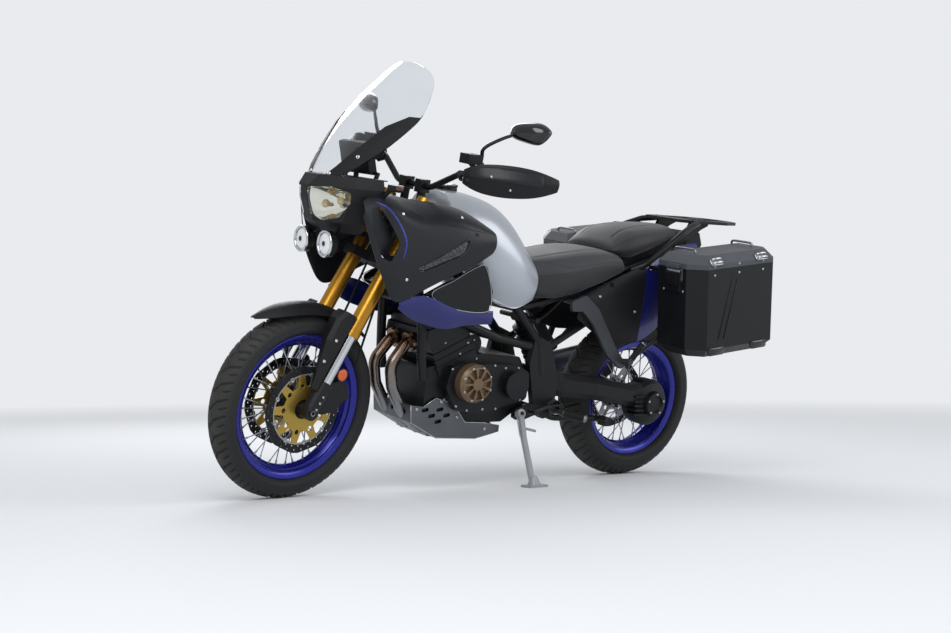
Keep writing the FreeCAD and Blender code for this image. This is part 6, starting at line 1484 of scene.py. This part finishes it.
# a point moves if the solid is further off than NEAR metres; above FLOOR_OF_CAP the skin within CAP_KEPT
# of the filler stays as it is
NEAR, CAP_KEPT, FLOOR_OF_CAP = 0.0015, 50, 900
outside = led(mirrored_rows(TANK_SECTIONS), TANK_GRID, TANK_GRID)
under = np.empty_like(outside)
for i in range(TANK_GRID):
    x, y, z = outside[i, -1]
    roof = np.interp(x, TUNNEL_X, TUNNEL_ROOF)
    half = min(abs(y) - 4, 104)
    turns = np.array([(-abs(y), z), (-half, z), (-half, roof), (half, roof), (half, z), (abs(y), z)])
    length = np.concatenate([[0], np.cumsum(np.linalg.norm(np.diff(turns, axis=0), axis=1))])
    at = np.linspace(0, length[-1], TANK_GRID)
    across_y, height_z = np.interp(at, length, turns[:, 0]), np.interp(at, length, turns[:, 1])
    under[i] = np.stack([np.full(TANK_GRID, x), across_y, height_z], 1)
points = outside.reshape(-1, 3)
skin_points = placed(points, "chassis")
from_cap = np.linalg.norm(points[:, :2] - [206, 0], axis=1)
moved = 0
# the nearest point of a solid is asked for one point at a time
for i, place in enumerate(skin_points):
    found, near, _, _ = nodes["fuel_tank"].closest_point_on_mesh(Vector(place))
    free = from_cap[i] > CAP_KEPT or points[i, 2] < FLOOR_OF_CAP
    if found and free and (near - Vector(place)).length > NEAR:
        skin_points[i], moved = near, moved + 1
inside = placed(under.reshape(-1, 3), "chassis").reshape(under.shape)
dressed("tank_skin", wall(skin_points.reshape(outside.shape), inside), "silver_metallic_lacquer",
        node="fuel_tank")
COLLAR = [(-34, 0.1), (-34, 39), (-1.5, 39.5), (0, 38), (0, 0.1)]
dressed("fuel_cap_collar", lathe(COLLAR, cap_foot, cap_way, "chassis", 64), "black_cast_aluminium")
print("tank points drawn to the cut", moved, "of", TANK_GRID * TANK_GRID)

# %% [markdown]
# ## The shroud's grille
# The slot along the shroud's lower edge is closed by a mesh of small cells, light wire with a thin raised
# border. The mesh is a solid sheet about two millimetres under the shroud's surface, and the middle of each
# cell is painted near black: painted shade for the dark hollow behind the mesh.

# %% Mesh and border
MESH_DEPTH, MESH_THICKNESS = 2.2, 1.0
MESH_RIM = [(486, 840), (400, 880), (302, 940), (280, 942), (302, 888), (380, 856), (452, 828), (486, 836)]
tree, shader, shade, where = surface("wire_mesh_with_painted_hole_shade", "#55585e", 0.4, 0.4, 0.05, 0, 0, 0.3)
cells = add(tree, "TexVoronoi", {"Vector": where.outputs["Object"], "Scale": 150.0},
            feature="DISTANCE_TO_EDGE")
wire = add(tree, "MapRange", {"Value": cells.outputs["Distance"], "From Min": 0.10, "From Max": 0.16})
# Painted shade: the middle of each cell is near black for the hollow seen through the mesh, and only the cell
# edges keep the wire's grey.
inside = add(tree, "Mix", {0: wire.outputs[0], 6: shade.outputs[2], 7: colour("#040405")}, data_type="RGBA")
tree.links.new(inside.outputs[2], shader.inputs["Base Color"])
down, along = np.meshgrid(np.linspace(0, 1, 14), np.linspace(0, 1, 60), indexing="ij")
step = along[0]
upper = np.stack([np.interp(step, [0, 1], [488, 298]), np.interp(step, [0, 1], [837, 936])], 1)
lower = np.stack([np.interp(step, [0, 0.85, 1], [458, 302, 284]),
                  np.interp(step, [0, 0.85, 1], [831, 892, 936])], 1)
net = upper[None] * down[..., None] + lower[None] * (1 - down[..., None])
nearest = nearest_on_shroud(net.reshape(-1, 2))
depth = shroud_grid.reshape(-1, 3)[nearest, 1].reshape(net.shape[:2])
face = np.stack([net[..., 0], depth, net[..., 1]], -1)
way = shroud_normals.reshape(-1, 3)[nearest].reshape(face.shape)
rim, rim_faces = laid(MESH_RIM, 3.2, 0.9)
meshes, borders = [], []
for side in (1, -1):
    flip = np.array([1, side, 1])
    meshes.append(wall((face - way * MESH_DEPTH) * flip, (face - way * (MESH_DEPTH + MESH_THICKNESS)) * flip))
    borders.append((rim * flip, rim_faces))
fitted("shroud_meshes", joined(meshes), "wire_mesh_with_painted_hole_shade")
fitted("shroud_mesh_borders", joined(borders), "gloss_black_abs")
print("grilles closed")
